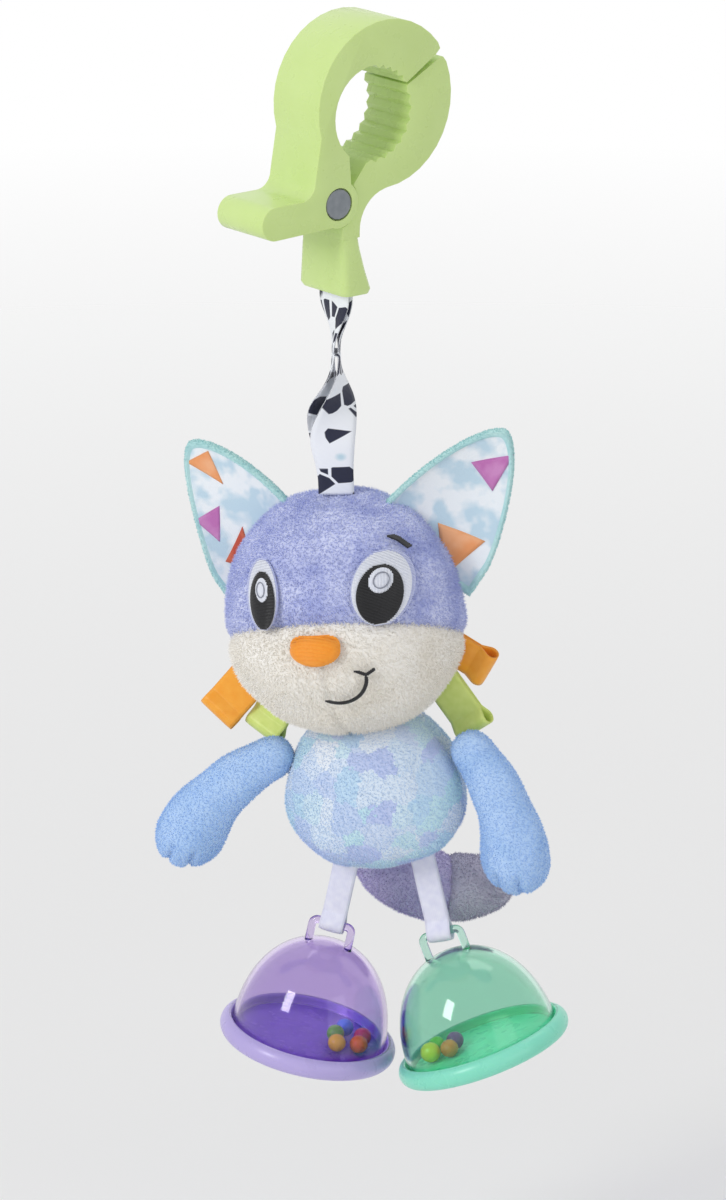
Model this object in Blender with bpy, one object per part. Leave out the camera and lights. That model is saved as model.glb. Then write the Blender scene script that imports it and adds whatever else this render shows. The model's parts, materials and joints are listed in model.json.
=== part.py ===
"""Hanging pram toy: a plush fox that hangs from a spring clip by a ribbon, with two rattles as feet.

Metres, +Z up. The origin is the centre of the clip's jaw hole, and the fox faces -Y. Left and right are the
fox's own, so left is +X.
"""

import math

import bmesh
import bpy
from mathutils import Euler, Matrix, Vector

# Running gap between neighbours, and the overrun of a cutter past what it cuts.
GAP = 0.0003
OVERRUN = 0.002

# Clip, in its own plane: u to the right of the pivot, v up, seen from the side of the pin's head.
CLIP_TURN = math.radians(52)
CLIP_WIDTH = 0.022
HOLE_RADIUS = 0.0152
HOLE_U = 0.0138
HOLE_V = 0.026
JAW_RADIUS = 0.0262
JAW_U = 0.0183
JAW_V = 0.0285
MOUTH_ANGLE = math.radians(30)
MOUTH_GAP = 0.0012
TIP_ROUND = 0.0026
EAR_START = math.radians(-110)
EAR_END = math.radians(50)
HOOK_INNER_START = math.radians(230)
HOOK_TEETH_START = math.radians(88)
HOOK_OUTER_END = math.radians(196)
BASE_INNER_END = math.radians(-100)
BASE_OUTER_START = math.radians(-88)
BASE_FILLET_END = math.radians(100)
KNUCKLE_ROOM_END = math.radians(250)
TOOTH_DEPTH = 0.0011
BASE_TEETH = 9
HOOK_TEETH = 5
EAR_RADIUS = 0.0074
EAR_THICK = 0.0041
KNUCKLE_RADIUS = 0.0062
SPRING_ROOM = 0.0068
EAR_CLEARANCE = 0.0005
PIN_RADIUS = 0.0019
PIN_HEAD_RADIUS = 0.0048
PIN_HEAD_THICK = 0.0009
PIN_BEVEL = 0.0003
LEVER_END_U = -0.0245
LEVER_TOP_V = 0.0028
LEVER_END_V = -0.0024
LEVER_END_RADIUS = 0.0052
LEVER_ROOT_U = -0.0092
LEVER_ROOT_DROP = 0.0082
NECK_V = -0.0096
NECK_U = 0.0052
NECK_DEPTH = 0.0068
NECK_WIDTH = 0.0205
FOOT_V = -0.0296
FOOT_U = 0.0076
FOOT_DEPTH = 0.0115
FOOT_WIDTH = 0.0232
FOOT_CORNER = 0.0022
EYE_BAR_RADIUS = 0.0012
EYE_BAR_RISE = 0.0036
EYE_DEPTH = 0.0072
EYE_ROOM = 0.0070

# Closing spring round the pin.
SPRING_WIRE = 0.0009
SPRING_RADIUS = 0.0034
SPRING_PITCH = 0.0015
SPRING_TURNS = 3.5
SPRING_LEG = 0.0062
SPRING_STEPS_A_TURN = 9

# Hanging strap: a printed ribbon, doubled.
STRAP_WIDTH = 0.014
STRAP_THICK = 0.0008
STRAP_LOOSE = 0.0006
STRAP_PINCH_Z = -0.0752
STRAP_PINCH_WIDTH = 0.0095
STRAP_BULGE = 0.0022
STRAP_BOW = 0.0014
STRAP_CLEARANCE = 0.0006
STRAP_STEP = 0.0022
STRAP_TWIST_STEP = 0.0013
STRAP_UPPER_TWIST = math.radians(-39)
STRAP_LOWER_TWIST = math.radians(-90)
FOLD_OPENING = math.radians(55)

# Head: a stuffed form, wide at the cheeks, tipped a little to one side.
HEAD_X = -0.0013
HEAD_Y = -0.0030
HEAD_Z = -0.1588
HEAD_ROLL = math.radians(-6.5)
HEAD_HALF_WIDTH = 0.0370
HEAD_HALF_DEPTH = 0.0335
HEAD_HALF_HEIGHT = 0.0388
MUZZLE_REACH = 0.0030
SKIN_THICK = 0.0016
SEAM_BRIDGE_Z = 0.0069
SEAM_SIDE_Z = -0.0050

# Face, placed on the head's front. Its places are shares of the head's half width and half height.
EYE_HALF_WIDTH = 0.0062
EYE_HALF_HEIGHT = 0.0085
EYE_WHITE_RIM = 0.0023
EYE_WHITE_OUT = 0.0008
EYE_WHITE_RISE = 0.0018
NOSE_HALF_WIDTH = 0.0078
NOSE_HALF_HEIGHT = 0.0047
NOSE_REACH = 0.0026
MOUTH_RADIUS = 0.0088
MOUTH_LINE = 0.0013
MOUTH_TICK = 0.0034
SMILE_START = math.radians(-122)
SMILE_END = math.radians(-4)
BROW_ABOVE_EYE = 0.0142
BROW_PAST_EYE = 0.0036
BROW_LENGTH = 0.0078
BROW_LINE = 0.0016
BROW_SLOPE = math.radians(-34)
PATCH_THICK = 0.0008

# Ears.
EAR_X = 0.0272
EAR_Y = 0.0070
EAR_Z = 0.0208
EAR_TILT = math.radians(37)
EAR_TURN = math.radians(12)
EAR_LENGTH = 0.0400
EAR_HALF_WIDTH = 0.0192
EAR_DEPTH = 0.0085
EAR_RIM = 0.0026
EAR_PANEL_THICK = 0.0022

# Satin tags, sewn as loops into the sides of the head.
TAG_WIDTH = 0.0130
TAG_REACH = 0.0120
TAG_SATIN = 0.0006
TAG_FOLD = 0.0013
TAG_Y = 0.0070
ORANGE_TAG_ANGLE = math.radians(26)
LIME_TAG_ANGLE = math.radians(48)
TAG_ROOT = 0.0045
RIGHT_TAG_TWIST = math.radians(8)
LEFT_TAG_TWIST = math.radians(16)

# Body.
BODY_X = 0.0072
BODY_Y = 0.0010
NECK_SINK = 0.0086
BODY_LEAN = math.radians(-8)
BODY_HALF_WIDTH = 0.0288
BODY_HALF_DEPTH = 0.0225
BODY_HALF_HEIGHT = 0.0268

# Arms: each turns in a socket of the body's side seam.
SHOULDER_RADIUS = 0.0072
ELBOW_RADIUS = 0.0087
PAW_RADIUS = 0.0116
ARM_LENGTH = 0.0480
ARM_BEND = math.radians(47)
RIGHT_SHOULDER_HEIGHT = 0.0122
RIGHT_SHOULDER_OUT = 0.0050
RIGHT_ARM_DROOP = math.radians(26)
LEFT_SHOULDER_HEIGHT = 0.0097
LEFT_SHOULDER_OUT = 0.0074
LEFT_ARM_DROOP = math.radians(48)
SHOULDER_Y = -0.0050
ARM_FORWARD = math.radians(12)

# Tail: it turns in a socket at the foot of the body's back.
TAIL_ROOT_X = -0.0070
TAIL_ROOT_HEIGHT = -0.0175
TAIL_ROOT_OUT = 0.0044
TAIL_ROOT_RADIUS = 0.0064
TAIL_BELLY_RADIUS = 0.0105
TAIL_TIP_RADIUS = 0.0070
TAIL_LENGTH = 0.0600
TAIL_TIP_LENGTH = 0.0220
TAIL_DROOP = math.radians(70)
TAIL_BEND = math.radians(-104)
TAIL_BACK = math.radians(20)

# Legs: a doubled ribbon each, sewn into the body above and looped round the rattle's bar below.
LEG_WIDTH = 0.0078
LEG_RIBBON = 0.0006
LEG_LOOSE = 0.0005
LEG_STEP = 0.0030
HEM_GROOVE_RADIUS = 0.0022
RIGHT_LEG_PLACE = -0.0129
RIGHT_LEG_LENGTH = 0.0212
RIGHT_LEG_ROLL = math.radians(12)
RIGHT_RATTLE_ROLL = math.radians(12)
LEFT_LEG_PLACE = 0.0118
LEFT_LEG_LENGTH = 0.0250
LEFT_LEG_ROLL = math.radians(-13)
LEFT_RATTLE_ROLL = math.radians(-21)

# Rattles, in their own frame: the bar's centre is the origin, and the axis runs down.
BAR_RADIUS = 0.0013
BAR_CLEARANCE = 0.0008
LOOP_HALF_WIDTH = 0.0064
LOOP_CORNER = 0.0018
LOOP_RISE = 0.0064
DOME_HEIGHT = 0.0305
DOME_RADIUS = 0.0247
DOME_WALL = 0.0014
RIM_RADIUS = 0.0282
RIM_RISE = 0.0010
RIM_DROP = 0.0056
RIM_SEAT = 0.0035
RIM_LEDGE = 0.0024
FLOOR_THICK = 0.0012
BEAD_RADIUS = 0.0028
BIG_BEAD_RADIUS = 0.0032

# Where each bead lies on its rattle's floor: across and deep from the dome's axis.
PURPLE_BLUE_BEAD = (0.0100, 0.0070)
PURPLE_GREEN_BEAD = (0.0085, 0.0000)
PURPLE_YELLOW_BEAD = (0.0105, -0.0070)
PURPLE_ORANGE_BEAD = (0.0168, -0.0034)
PURPLE_RED_BEAD = (0.0166, 0.0036)
GREEN_YELLOW_BEAD = (-0.0160, -0.0036)
GREEN_GREEN_BEAD = (-0.0158, 0.0040)
GREEN_ORANGE_BEAD = (-0.0096, -0.0036)
GREEN_PLUM_BEAD = (-0.0094, 0.0036)

# Finishes: colour, roughness and metallic value.
LIME_PLASTIC = ("lime_plastic", (0.60, 0.80, 0.18), 0.38, 0.0)
PIN_STEEL = ("grey_pin", (0.30, 0.33, 0.36), 0.35, 0.6)
SPRING_STEEL = ("spring_steel", (0.62, 0.62, 0.64), 0.30, 1.0)
STRAP_PRINT = ("printed_ribbon", (0.80, 0.86, 0.92), 0.75, 0.0)
CROWN_PLUSH = ("periwinkle_plush", (0.42, 0.45, 0.78), 0.95, 0.0)
CREAM_PLUSH = ("cream_plush", (0.86, 0.82, 0.72), 0.95, 0.0)
FILLING = ("polyester_filling", (0.92, 0.92, 0.90), 1.0, 0.0)
EAR_CLOTH = ("ear_cloth", (0.80, 0.90, 0.93), 0.85, 0.0)
EAR_PLUSH = ("mint_plush", (0.56, 0.80, 0.80), 0.95, 0.0)
EYE_WHITE = ("white_embroidery", (0.93, 0.93, 0.95), 0.70, 0.0)
BLACK_THREAD = ("black_embroidery", (0.02, 0.02, 0.03), 0.55, 0.0)
ORANGE_PAD = ("orange_pad", (0.86, 0.40, 0.08), 0.60, 0.0)
ORANGE_SATIN = ("orange_satin", (0.90, 0.42, 0.05), 0.35, 0.0)
LIME_SATIN = ("lime_satin", (0.66, 0.78, 0.30), 0.35, 0.0)
BODY_PLUSH = ("patched_plush", (0.55, 0.72, 0.86), 0.95, 0.0)
ARM_PLUSH = ("sky_plush", (0.40, 0.60, 0.88), 0.95, 0.0)
TAIL_PLUSH = ("lilac_plush", (0.52, 0.47, 0.70), 0.95, 0.0)
TIP_PLUSH = ("pale_plush", (0.84, 0.82, 0.88), 0.95, 0.0)
LEG_SATIN = ("leg_ribbon", (0.86, 0.84, 0.93), 0.70, 0.0)
VIOLET_CLEAR = ("violet_clear_plastic", (0.45, 0.25, 0.70), 0.08, 0.0)
LILAC_PLASTIC = ("lilac_plastic", (0.58, 0.46, 0.82), 0.30, 0.0)
GREEN_CLEAR = ("green_clear_plastic", (0.25, 0.62, 0.50), 0.08, 0.0)
MINT_PLASTIC = ("mint_plastic", (0.36, 0.80, 0.68), 0.30, 0.0)
BEAD_COLOURS = {
    "blue": (0.10, 0.30, 0.80),
    "green": (0.25, 0.60, 0.20),
    "yellow": (0.90, 0.70, 0.10),
    "orange": (0.92, 0.38, 0.12),
    "red": (0.72, 0.10, 0.25),
    "plum": (0.45, 0.20, 0.45),
}
BEAD_ROUGHNESS = 0.25

# Facets of round forms.
HEAD_COLUMNS = 28
HEAD_ROWS = 15
BODY_COLUMNS = 24
BODY_ROWS = 12
LIMB_COLUMNS = 12
LIMB_ROWS = 9
TAIL_ROWS = 8
TAIL_FILLING_ROWS = 14
TURNED_STEPS = 28
OVAL_POINTS = 20
EAR_POINTS = 9
GROOVE_POINTS = 12
SOCKET_ROWS = 8
SHARP_EDGE = math.radians(40)
BEAD_COLUMNS = 10
BEAD_ROWS = 6
DOME_ROWS = 7
ARC_STEP = math.radians(10)
FOLD_STEP = math.radians(25)
STRAP_COLUMNS = 4
WIRE_SIDES = 6
BAR_SIDES = 8
PIN_STEPS = 16
ROD_STEPS = 24

# Shares and powers that shape the forms.
TIP_CORNER_SHARE = 0.62
SPRING_SLOT_SHARE = 0.85
SPRING_LEG_SHARES = (0.35, 0.55)
HAIRPIN_JOIN_SHARE = 1.7
WIDEN_SHARE = 0.34
TWIST_SHARE = 0.67
FOOT_RING_SHARES = (0.0, 0.3, 0.65, 0.93, 1.0)
FOOT_FLARE_POWER = 1.4
POLE_SHARE = 1.0
POLE_RING_SHARE = 0.10
STUFFED_POWER = 2.25
CHEEK_SHARE = 0.28
EYE_HEIGHT_SHARE = 0.3200
NOSE_HEIGHT_SHARE = -0.0464
MOUTH_HEIGHT_SHARE = -0.2600
EYE_PLACE_SHARE = 0.4973
MOUTH_PLACE_SHARE = 0.1243
CHEEK_SPREAD_SHARE = 0.55
CHEEK_SWELL_SHARE = 0.035
PEAR_SHARE = 0.10
NOSE_RING_SHARES = (-0.5, 0.0, 0.35, 0.65, 0.85, 0.96)
NOSE_SEAT_SHARE = 0.75
EAR_POWER = 1.25
EAR_ROUND_POWER = 0.62
EAR_FRONT_SHARE = 0.45
EAR_RING_SHARES = ((0, 1.0, 0.5), (0, 0.4, 0.0), (1, 0.4, 0.0), (1, 0.8, 1.0), (1, 1.0, 2.4))
EAR_BASE_SHARE = -0.25
EAR_CUT_SHARE = 0.2
ARM_SHARES = (0.0, 0.36, 0.74, 1.0)
TAIL_SHARES = (0.0, 0.45, 0.68, 1.0)
TIP_FLAT_SHARE = 0.02
LIMB_FLAT_SHARE = 0.86
ROOT_RING_ANGLES = (48.0, 25.0, 0.0)
DOME_POWER = 2.15
RIM_LIP_SHARE = 0.2
RIM_FOOT_SHARE = 0.6
RIM_ROUND_SHARE = 0.75
RIM_ROUND_ANGLES = (-60.0, -30.0, 0.0, 30.0, 60.0)


def material_of(finish):
    """The Principled material for a finish, made once."""
    name, colour, roughness, metallic = finish
    material = bpy.data.materials.get(name)
    if material is None:
        material = bpy.data.materials.new(name)
        material.use_nodes = True
        shader = material.node_tree.nodes["Principled BSDF"]
        shader.inputs["Base Color"].default_value = (*colour, 1.0)
        shader.inputs["Roughness"].default_value = roughness
        shader.inputs["Metallic"].default_value = metallic
        material.diffuse_color = (*colour, 1.0)
    return material


def axis_frame(name, at, turn=(0.0, 0.0, 0.0), parent=None):
    """An empty at a joint's axis, or at a form's middle, placed in world coordinates."""
    frame = bpy.data.objects.new(name, None)
    bpy.context.collection.objects.link(frame)
    world = Matrix.LocRotScale(Vector(at), Euler(turn), None)
    frame.parent = parent
    frame.matrix_basis = parent.matrix_world.inverted() @ world if parent else world
    bpy.context.view_layer.update()
    return frame


def object_from(name, shape, finish, frame, smooth=True):
    """Makes the object of a bmesh that is drawn in its frame's coordinates."""
    bmesh.ops.recalc_face_normals(shape, faces=shape.faces)
    if shape.calc_volume(signed=True) < 0:
        bmesh.ops.reverse_faces(shape, faces=shape.faces)
    mesh = bpy.data.meshes.new(name)
    shape.to_mesh(mesh)
    shape.free()
    if smooth:
        mesh.shade_smooth()
        mesh.set_sharp_from_angle(angle=SHARP_EDGE)
    made = bpy.data.objects.new(name, mesh)
    if finish:
        mesh.materials.append(material_of(finish))
    bpy.context.collection.objects.link(made)
    made.parent = frame
    return made


def helper(made):
    """Marks an object as a cutter, which the build leaves out."""
    made.hide_render = True
    made.display_type = "WIRE"
    return made


def combine(target, cutter, operation="DIFFERENCE"):
    """Adds a Boolean that cuts, joins or keeps the common part."""
    step = target.modifiers.new(cutter.name, "BOOLEAN")
    step.operation = operation
    step.solver = "EXACT"
    step.object = cutter
    return target


def skinned(name, rings, finish, frame, wrap=False, smooth=True):
    """A closed skin over rings of points. It is capped at both ends, or joined round where wrap is set."""
    shape = bmesh.new()
    rows = [[shape.verts.new(point) for point in ring] for ring in rings]
    pairs = list(zip(rows, rows[1:] + rows[:1])) if wrap else list(zip(rows, rows[1:]))
    for low, high in pairs:
        for k in range(len(low)):
            n = (k + 1) % len(low)
            shape.faces.new((low[k], low[n], high[n], high[k]))
    if not wrap:
        shape.faces.new(rows[0][::-1])
        shape.faces.new(rows[-1])
    return object_from(name, shape, finish, frame, smooth)


def turned(name, profile, finish, frame, steps=TURNED_STEPS):
    """A closed outline of (radius, height) points, turned round the frame's Z axis."""
    shape = bmesh.new()
    rows = []
    for k in range(steps):
        angle = math.tau * k / steps
        rows.append([
            shape.verts.new((radius * math.cos(angle), radius * math.sin(angle), height))
            for radius, height in profile
        ])
    for row, after in zip(rows, rows[1:] + rows[:1]):
        for k in range(len(profile)):
            n = (k + 1) % len(profile)
            if profile[k][0] > 0 or profile[n][0] > 0:
                shape.faces.new((row[k], row[n], after[n], after[k]))
    bmesh.ops.remove_doubles(shape, verts=shape.verts, dist=GAP / 100)
    return object_from(name, shape, finish, frame)


def prism(name, outline, near, far, finish, frame, axis="y", smooth=True):
    """An outline drawn in XZ and carried from near to far along Y, or drawn in XY and carried along Z."""
    def place(point, depth):
        return (point[0], depth, point[1]) if axis == "y" else (point[0], point[1], depth)

    rings = [[place(point, depth) for point in outline] for depth in (near, far)]
    return skinned(name, rings, finish, frame, smooth=smooth)


def arc(centre_u, centre_v, radius, start, end, step=ARC_STEP):
    """Points of an arc, about one for each step."""
    count = max(2, round(abs(end - start) / step))
    return [
        (
            centre_u + radius * math.cos(start + (end - start) * k / count),
            centre_v + radius * math.sin(start + (end - start) * k / count),
        )
        for k in range(count + 1)
    ]


def toothed_arc(centre_u, centre_v, radius, start, end, teeth):
    """An arc of a hole with saw teeth that reach into it."""
    points = []
    for k in range(teeth):
        for share, depth in ((0.0, 0.0), (0.5, TOOTH_DEPTH)):
            angle = start + (end - start) * (k + share) / teeth
            reach = radius - depth
            points.append((centre_u + reach * math.cos(angle), centre_v + reach * math.sin(angle)))
    return points


def circle(count, radius=1.0):
    """Points round a circle."""
    return [
        (radius * math.cos(math.tau * k / count), radius * math.sin(math.tau * k / count))
        for k in range(count)
    ]


def ring_at(centre, across, up, section):
    """A section's points, laid on two directions at a centre."""
    return [centre + across * p + up * q for p, q in section]


def rounded_box_section(half_x, half_y, corner, steps=3):
    """A rectangle with rounded corners."""
    points = []
    for turn, (sign_x, sign_y) in enumerate(((1, 1), (-1, 1), (-1, -1), (1, -1))):
        for k in range(steps + 1):
            angle = math.pi / 2 * (turn + k / steps)
            points.append((
                sign_x * (half_x - corner) + corner * math.cos(angle),
                sign_y * (half_y - corner) + corner * math.sin(angle),
            ))
    return points


# Clip.


def hook_outline():
    """The hook jaw with its thumb lever, anticlockwise from the ear's underside."""
    mouth = MOUTH_ANGLE + MOUTH_GAP / HOLE_RADIUS / 2
    points = arc(0.0, 0.0, EAR_RADIUS, EAR_START, EAR_END)
    points += arc(HOLE_U, HOLE_V, HOLE_RADIUS, HOOK_INNER_START, HOOK_TEETH_START)
    teeth = toothed_arc(HOLE_U, HOLE_V, HOLE_RADIUS, HOOK_TEETH_START, mouth, HOOK_TEETH)
    points += teeth[1:]
    points += mouth_tip(mouth, 1)
    points += arc(JAW_U, JAW_V, JAW_RADIUS, outer_mouth_angle(mouth) + TIP_ROUND / JAW_RADIUS, HOOK_OUTER_END)
    points.append((LEVER_ROOT_U, LEVER_ROOT_DROP))
    fillet = LEVER_ROOT_DROP - LEVER_TOP_V
    points += arc(LEVER_ROOT_U - fillet, LEVER_TOP_V + fillet, fillet, 0.0, -math.pi / 2)[1:]
    points += arc(LEVER_END_U, LEVER_END_V, LEVER_END_RADIUS, math.pi / 2, math.pi * 3 / 2)
    return points


def outer_mouth_angle(mouth):
    """The angle on the jaws' outer circle that lies on the mouth's line from the hole's centre."""
    du, dv = JAW_U - HOLE_U, JAW_V - HOLE_V
    along = du * math.cos(mouth) + dv * math.sin(mouth)
    off = dv * math.cos(mouth) - du * math.sin(mouth)
    reach = along + math.sqrt(JAW_RADIUS**2 - off**2)
    return math.atan2(
        HOLE_V + reach * math.sin(mouth) - JAW_V,
        HOLE_U + reach * math.cos(mouth) - JAW_U,
    )


def mouth_tip(mouth, side):
    """The straight end of a jaw at the mouth, rounded at its outer corner. The side is 1 for the hook."""
    inner = (HOLE_U + HOLE_RADIUS * math.cos(mouth), HOLE_V + HOLE_RADIUS * math.sin(mouth))
    edge = outer_mouth_angle(mouth)
    end = (JAW_U + JAW_RADIUS * math.cos(edge), JAW_V + JAW_RADIUS * math.sin(edge))
    back = (end[0] - TIP_ROUND * math.cos(mouth), end[1] - TIP_ROUND * math.sin(mouth))
    turned_edge = edge + side * TIP_ROUND / JAW_RADIUS
    after = (JAW_U + JAW_RADIUS * math.cos(turned_edge), JAW_V + JAW_RADIUS * math.sin(turned_edge))
    middle = tuple(
        end[k] * TIP_CORNER_SHARE + (back[k] + after[k]) / 2 * (1 - TIP_CORNER_SHARE) for k in range(2)
    )
    return [inner, back, middle]


def base_outline():
    """The base jaw's arc with the neck below it, anticlockwise from the neck's left foot."""
    mouth = MOUTH_ANGLE - MOUTH_GAP / HOLE_RADIUS / 2
    neck_right = NECK_U + NECK_DEPTH / 2
    fillet_top = JAW_V + JAW_RADIUS * math.sin(BASE_OUTER_START)
    fillet = fillet_top - NECK_V
    fillet_u = neck_right + fillet
    outer_end = outer_mouth_angle(mouth) - TIP_ROUND / JAW_RADIUS
    points = arc(JAW_U, JAW_V, JAW_RADIUS, BASE_OUTER_START, outer_end)
    points += mouth_tip(mouth, -1)[::-1]
    teeth = toothed_arc(HOLE_U, HOLE_V, HOLE_RADIUS, mouth, BASE_INNER_END, BASE_TEETH)
    points += teeth[1:]
    points += arc(HOLE_U, HOLE_V, HOLE_RADIUS, BASE_INNER_END, mouth)[:1]
    points.append((NECK_U - NECK_DEPTH / 2, 0.0))
    points.append((NECK_U - NECK_DEPTH / 2, NECK_V - OVERRUN))
    points.append((neck_right, NECK_V - OVERRUN))
    points += arc(fillet_u, NECK_V, fillet, math.pi, BASE_FILLET_END)
    return points


def clip_foot(frame):
    """The flared foot under the neck."""
    rings = []
    for share in FOOT_RING_SHARES:
        swell = share**FOOT_FLARE_POWER
        shrink = FOOT_CORNER / 3 if share == FOOT_RING_SHARES[-1] else 0.0
        shrink += GAP if share == FOOT_RING_SHARES[0] else 0.0
        half_depth = (NECK_DEPTH + (FOOT_DEPTH - NECK_DEPTH) * swell) / 2 - shrink
        half_width = (NECK_WIDTH + (FOOT_WIDTH - NECK_WIDTH) * swell) / 2 - shrink
        rise = OVERRUN if share == FOOT_RING_SHARES[0] else 0.0
        centre = Vector((NECK_U + (FOOT_U - NECK_U) * swell, 0.0, NECK_V + (FOOT_V - NECK_V) * share + rise))
        section = rounded_box_section(half_depth, half_width, FOOT_CORNER)
        rings.append(ring_at(centre, Vector((1, 0, 0)), Vector((0, 1, 0)), section))
    return skinned("clip_foot_form", rings, LIME_PLASTIC, frame)


def rod_along_y(name, centre_u, centre_v, radius, half_length, finish, frame, count=ROD_STEPS):
    """A round bar along the pin's direction."""
    outline = [(centre_u + u, centre_v + v) for u, v in circle(count, radius)]
    return prism(name, outline, -half_length, half_length, finish, frame)


def box(name, low, high, finish, frame):
    """A plain box between two corners."""
    outline = [(low[0], low[2]), (high[0], low[2]), (high[0], high[2]), (low[0], high[2])]
    return prism(name, outline, low[1], high[1], finish, frame, smooth=False)


def make_clip(frame):
    """Base jaw, hook jaw, pivot pin and closing spring. The frame is on the pin's axis."""
    half = CLIP_WIDTH / 2
    inside_ears = half - EAR_THICK
    knuckle_half = inside_ears - GAP
    bar_v = FOOT_V + EYE_BAR_RISE

    base = prism("clip_base_jaw", base_outline(), -NECK_WIDTH / 2, NECK_WIDTH / 2, LIME_PLASTIC, frame)
    for side, name in ((-1, "near"), (1, "far")):
        ear_room = rod_along_y(
            f"ear_room_{name}", 0.0, 0.0, EAR_RADIUS + EAR_CLEARANCE, EAR_THICK + OVERRUN, None, frame
        )
        ear_room.location.y = side * (knuckle_half - GAP + EAR_THICK + OVERRUN)
        combine(base, helper(ear_room))
    knuckle = rod_along_y("clip_knuckle_form", 0.0, 0.0, KNUCKLE_RADIUS, knuckle_half, LIME_PLASTIC, frame)
    combine(base, helper(knuckle), "UNION")
    combine(base, helper(clip_foot(frame)), "UNION")
    spring_half = SPRING_ROOM / 2
    room = box(
        "spring_slot",
        (-KNUCKLE_RADIUS - OVERRUN, -spring_half, NECK_V / 2),
        (KNUCKLE_RADIUS * SPRING_SLOT_SHARE, spring_half, KNUCKLE_RADIUS + OVERRUN),
        None,
        frame,
    )
    combine(base, helper(room))
    bore = rod_along_y("base_pin_bore", 0.0, 0.0, PIN_RADIUS + GAP, half + OVERRUN, None, frame)
    combine(base, helper(bore))
    eye = box(
        "ribbon_eye",
        (FOOT_U - EYE_ROOM / 2, -STRAP_WIDTH / 2 - GAP * 2, FOOT_V - OVERRUN),
        (FOOT_U + EYE_ROOM / 2, STRAP_WIDTH / 2 + GAP * 2, FOOT_V + EYE_DEPTH),
        None,
        frame,
    )
    combine(base, helper(eye))
    bar = rod_along_y(
        "eye_bar_form", FOOT_U, bar_v, EYE_BAR_RADIUS, STRAP_WIDTH / 2 + OVERRUN, LIME_PLASTIC, frame,
        PIN_STEPS,
    )
    combine(base, helper(bar), "UNION")

    hook = prism("clip_hook_jaw", hook_outline(), -half, half, LIME_PLASTIC, frame)
    room_outline = arc(0.0, 0.0, KNUCKLE_RADIUS + EAR_CLEARANCE, math.pi / 2, KNUCKLE_ROOM_END)
    room_outline += [
        (0.0, -EAR_RADIUS - OVERRUN),
        (EAR_RADIUS + OVERRUN, -EAR_RADIUS - OVERRUN),
        (EAR_RADIUS + OVERRUN, EAR_RADIUS),
        (0.0, EAR_RADIUS),
    ]
    knuckle_room = prism("knuckle_room", room_outline, -inside_ears, inside_ears, None, frame)
    combine(hook, helper(knuckle_room))
    combine(hook, bore)
    for side, name in ((-1, "near"), (1, "far")):
        recess = rod_along_y(
            f"head_recess_{name}", 0.0, 0.0, PIN_HEAD_RADIUS + GAP, PIN_HEAD_THICK + GAP, None, frame
        )
        recess.location.y = side * half
        combine(hook, helper(recess))

    head_inner = half - PIN_HEAD_THICK
    profile = [
        (0.0, -half),
        (PIN_HEAD_RADIUS - PIN_BEVEL, -half),
        (PIN_HEAD_RADIUS, -half + PIN_BEVEL),
        (PIN_HEAD_RADIUS, -head_inner),
        (PIN_RADIUS, -head_inner),
        (PIN_RADIUS, head_inner),
        (PIN_HEAD_RADIUS, head_inner),
        (PIN_HEAD_RADIUS, half - PIN_BEVEL),
        (PIN_HEAD_RADIUS - PIN_BEVEL, half),
        (0.0, half),
    ]
    pin = turned("clip_pivot_pin", profile, PIN_STEEL, frame, PIN_STEPS)
    pin.rotation_euler.x = math.pi / 2
    make_spring(frame)
    return bar_v


def make_spring(frame):
    """The torsion spring round the pin: one unbroken round wire with two legs."""
    turns = SPRING_TURNS
    start = -math.pi / 2
    steps = round(turns * SPRING_STEPS_A_TURN)
    length = SPRING_PITCH * turns
    points = []
    for k in range(steps + 1):
        angle = start + math.tau * turns * k / steps
        points.append(Vector((
            SPRING_RADIUS * math.cos(angle), length * (k / steps - 0.5), SPRING_RADIUS * math.sin(angle)
        )))
    first, last = points[0], points[-1]
    leg = Vector((-SPRING_LEG, 0.0, 0.0))
    points.insert(0, first + leg * SPRING_LEG_SHARES[0])
    points.append(last + leg * SPRING_LEG_SHARES[1])
    least = least_gap(points, SPRING_WIRE)
    print(f"clip_spring: least gap between turns {least * 1000:.2f} mm")
    return wire("clip_spring", points, SPRING_WIRE / 2, SPRING_STEEL, frame)


def least_gap(points, thickness):
    """The least space between two stretches of a wire that aren't next to each other."""
    apart = SPRING_STEPS_A_TURN // 2
    return min(
        (points[i] - points[k]).length
        for i in range(len(points))
        for k in range(i + apart, len(points))
    ) - thickness


def wire(name, points, radius, finish, frame, sides=WIRE_SIDES):
    """A round wire along points, with flat ends."""
    section = circle(sides, radius)
    rings = []
    normal = None
    for k, point in enumerate(points):
        before = points[max(k - 1, 0)]
        after = points[min(k + 1, len(points) - 1)]
        along = (after - before).normalized()
        if normal is None:
            normal = along.orthogonal()
        normal = (normal - along * normal.dot(along)).normalized()
        rings.append(ring_at(point, normal, along.cross(normal), section))
    return skinned(name, rings, finish, frame)


# Ribbons.


def hairpin(inner_radius, length, thickness, loose):
    """The middle line of a ribbon that goes up round a bar and down again, as (across, height) points.

    The bar is at the origin and the ribbon's two ends hang below it.
    """
    radius = inner_radius + thickness / 2
    close = (loose + thickness) / 2
    join = -radius * HAIRPIN_JOIN_SHARE
    turn = arc(0.0, 0.0, radius, -math.pi / 2 - FOLD_OPENING, -math.pi * 5 / 2 + FOLD_OPENING, FOLD_STEP)
    return [(-close, -length), (-close, join)] + turn + [(close, join), (close, -length)]


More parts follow.
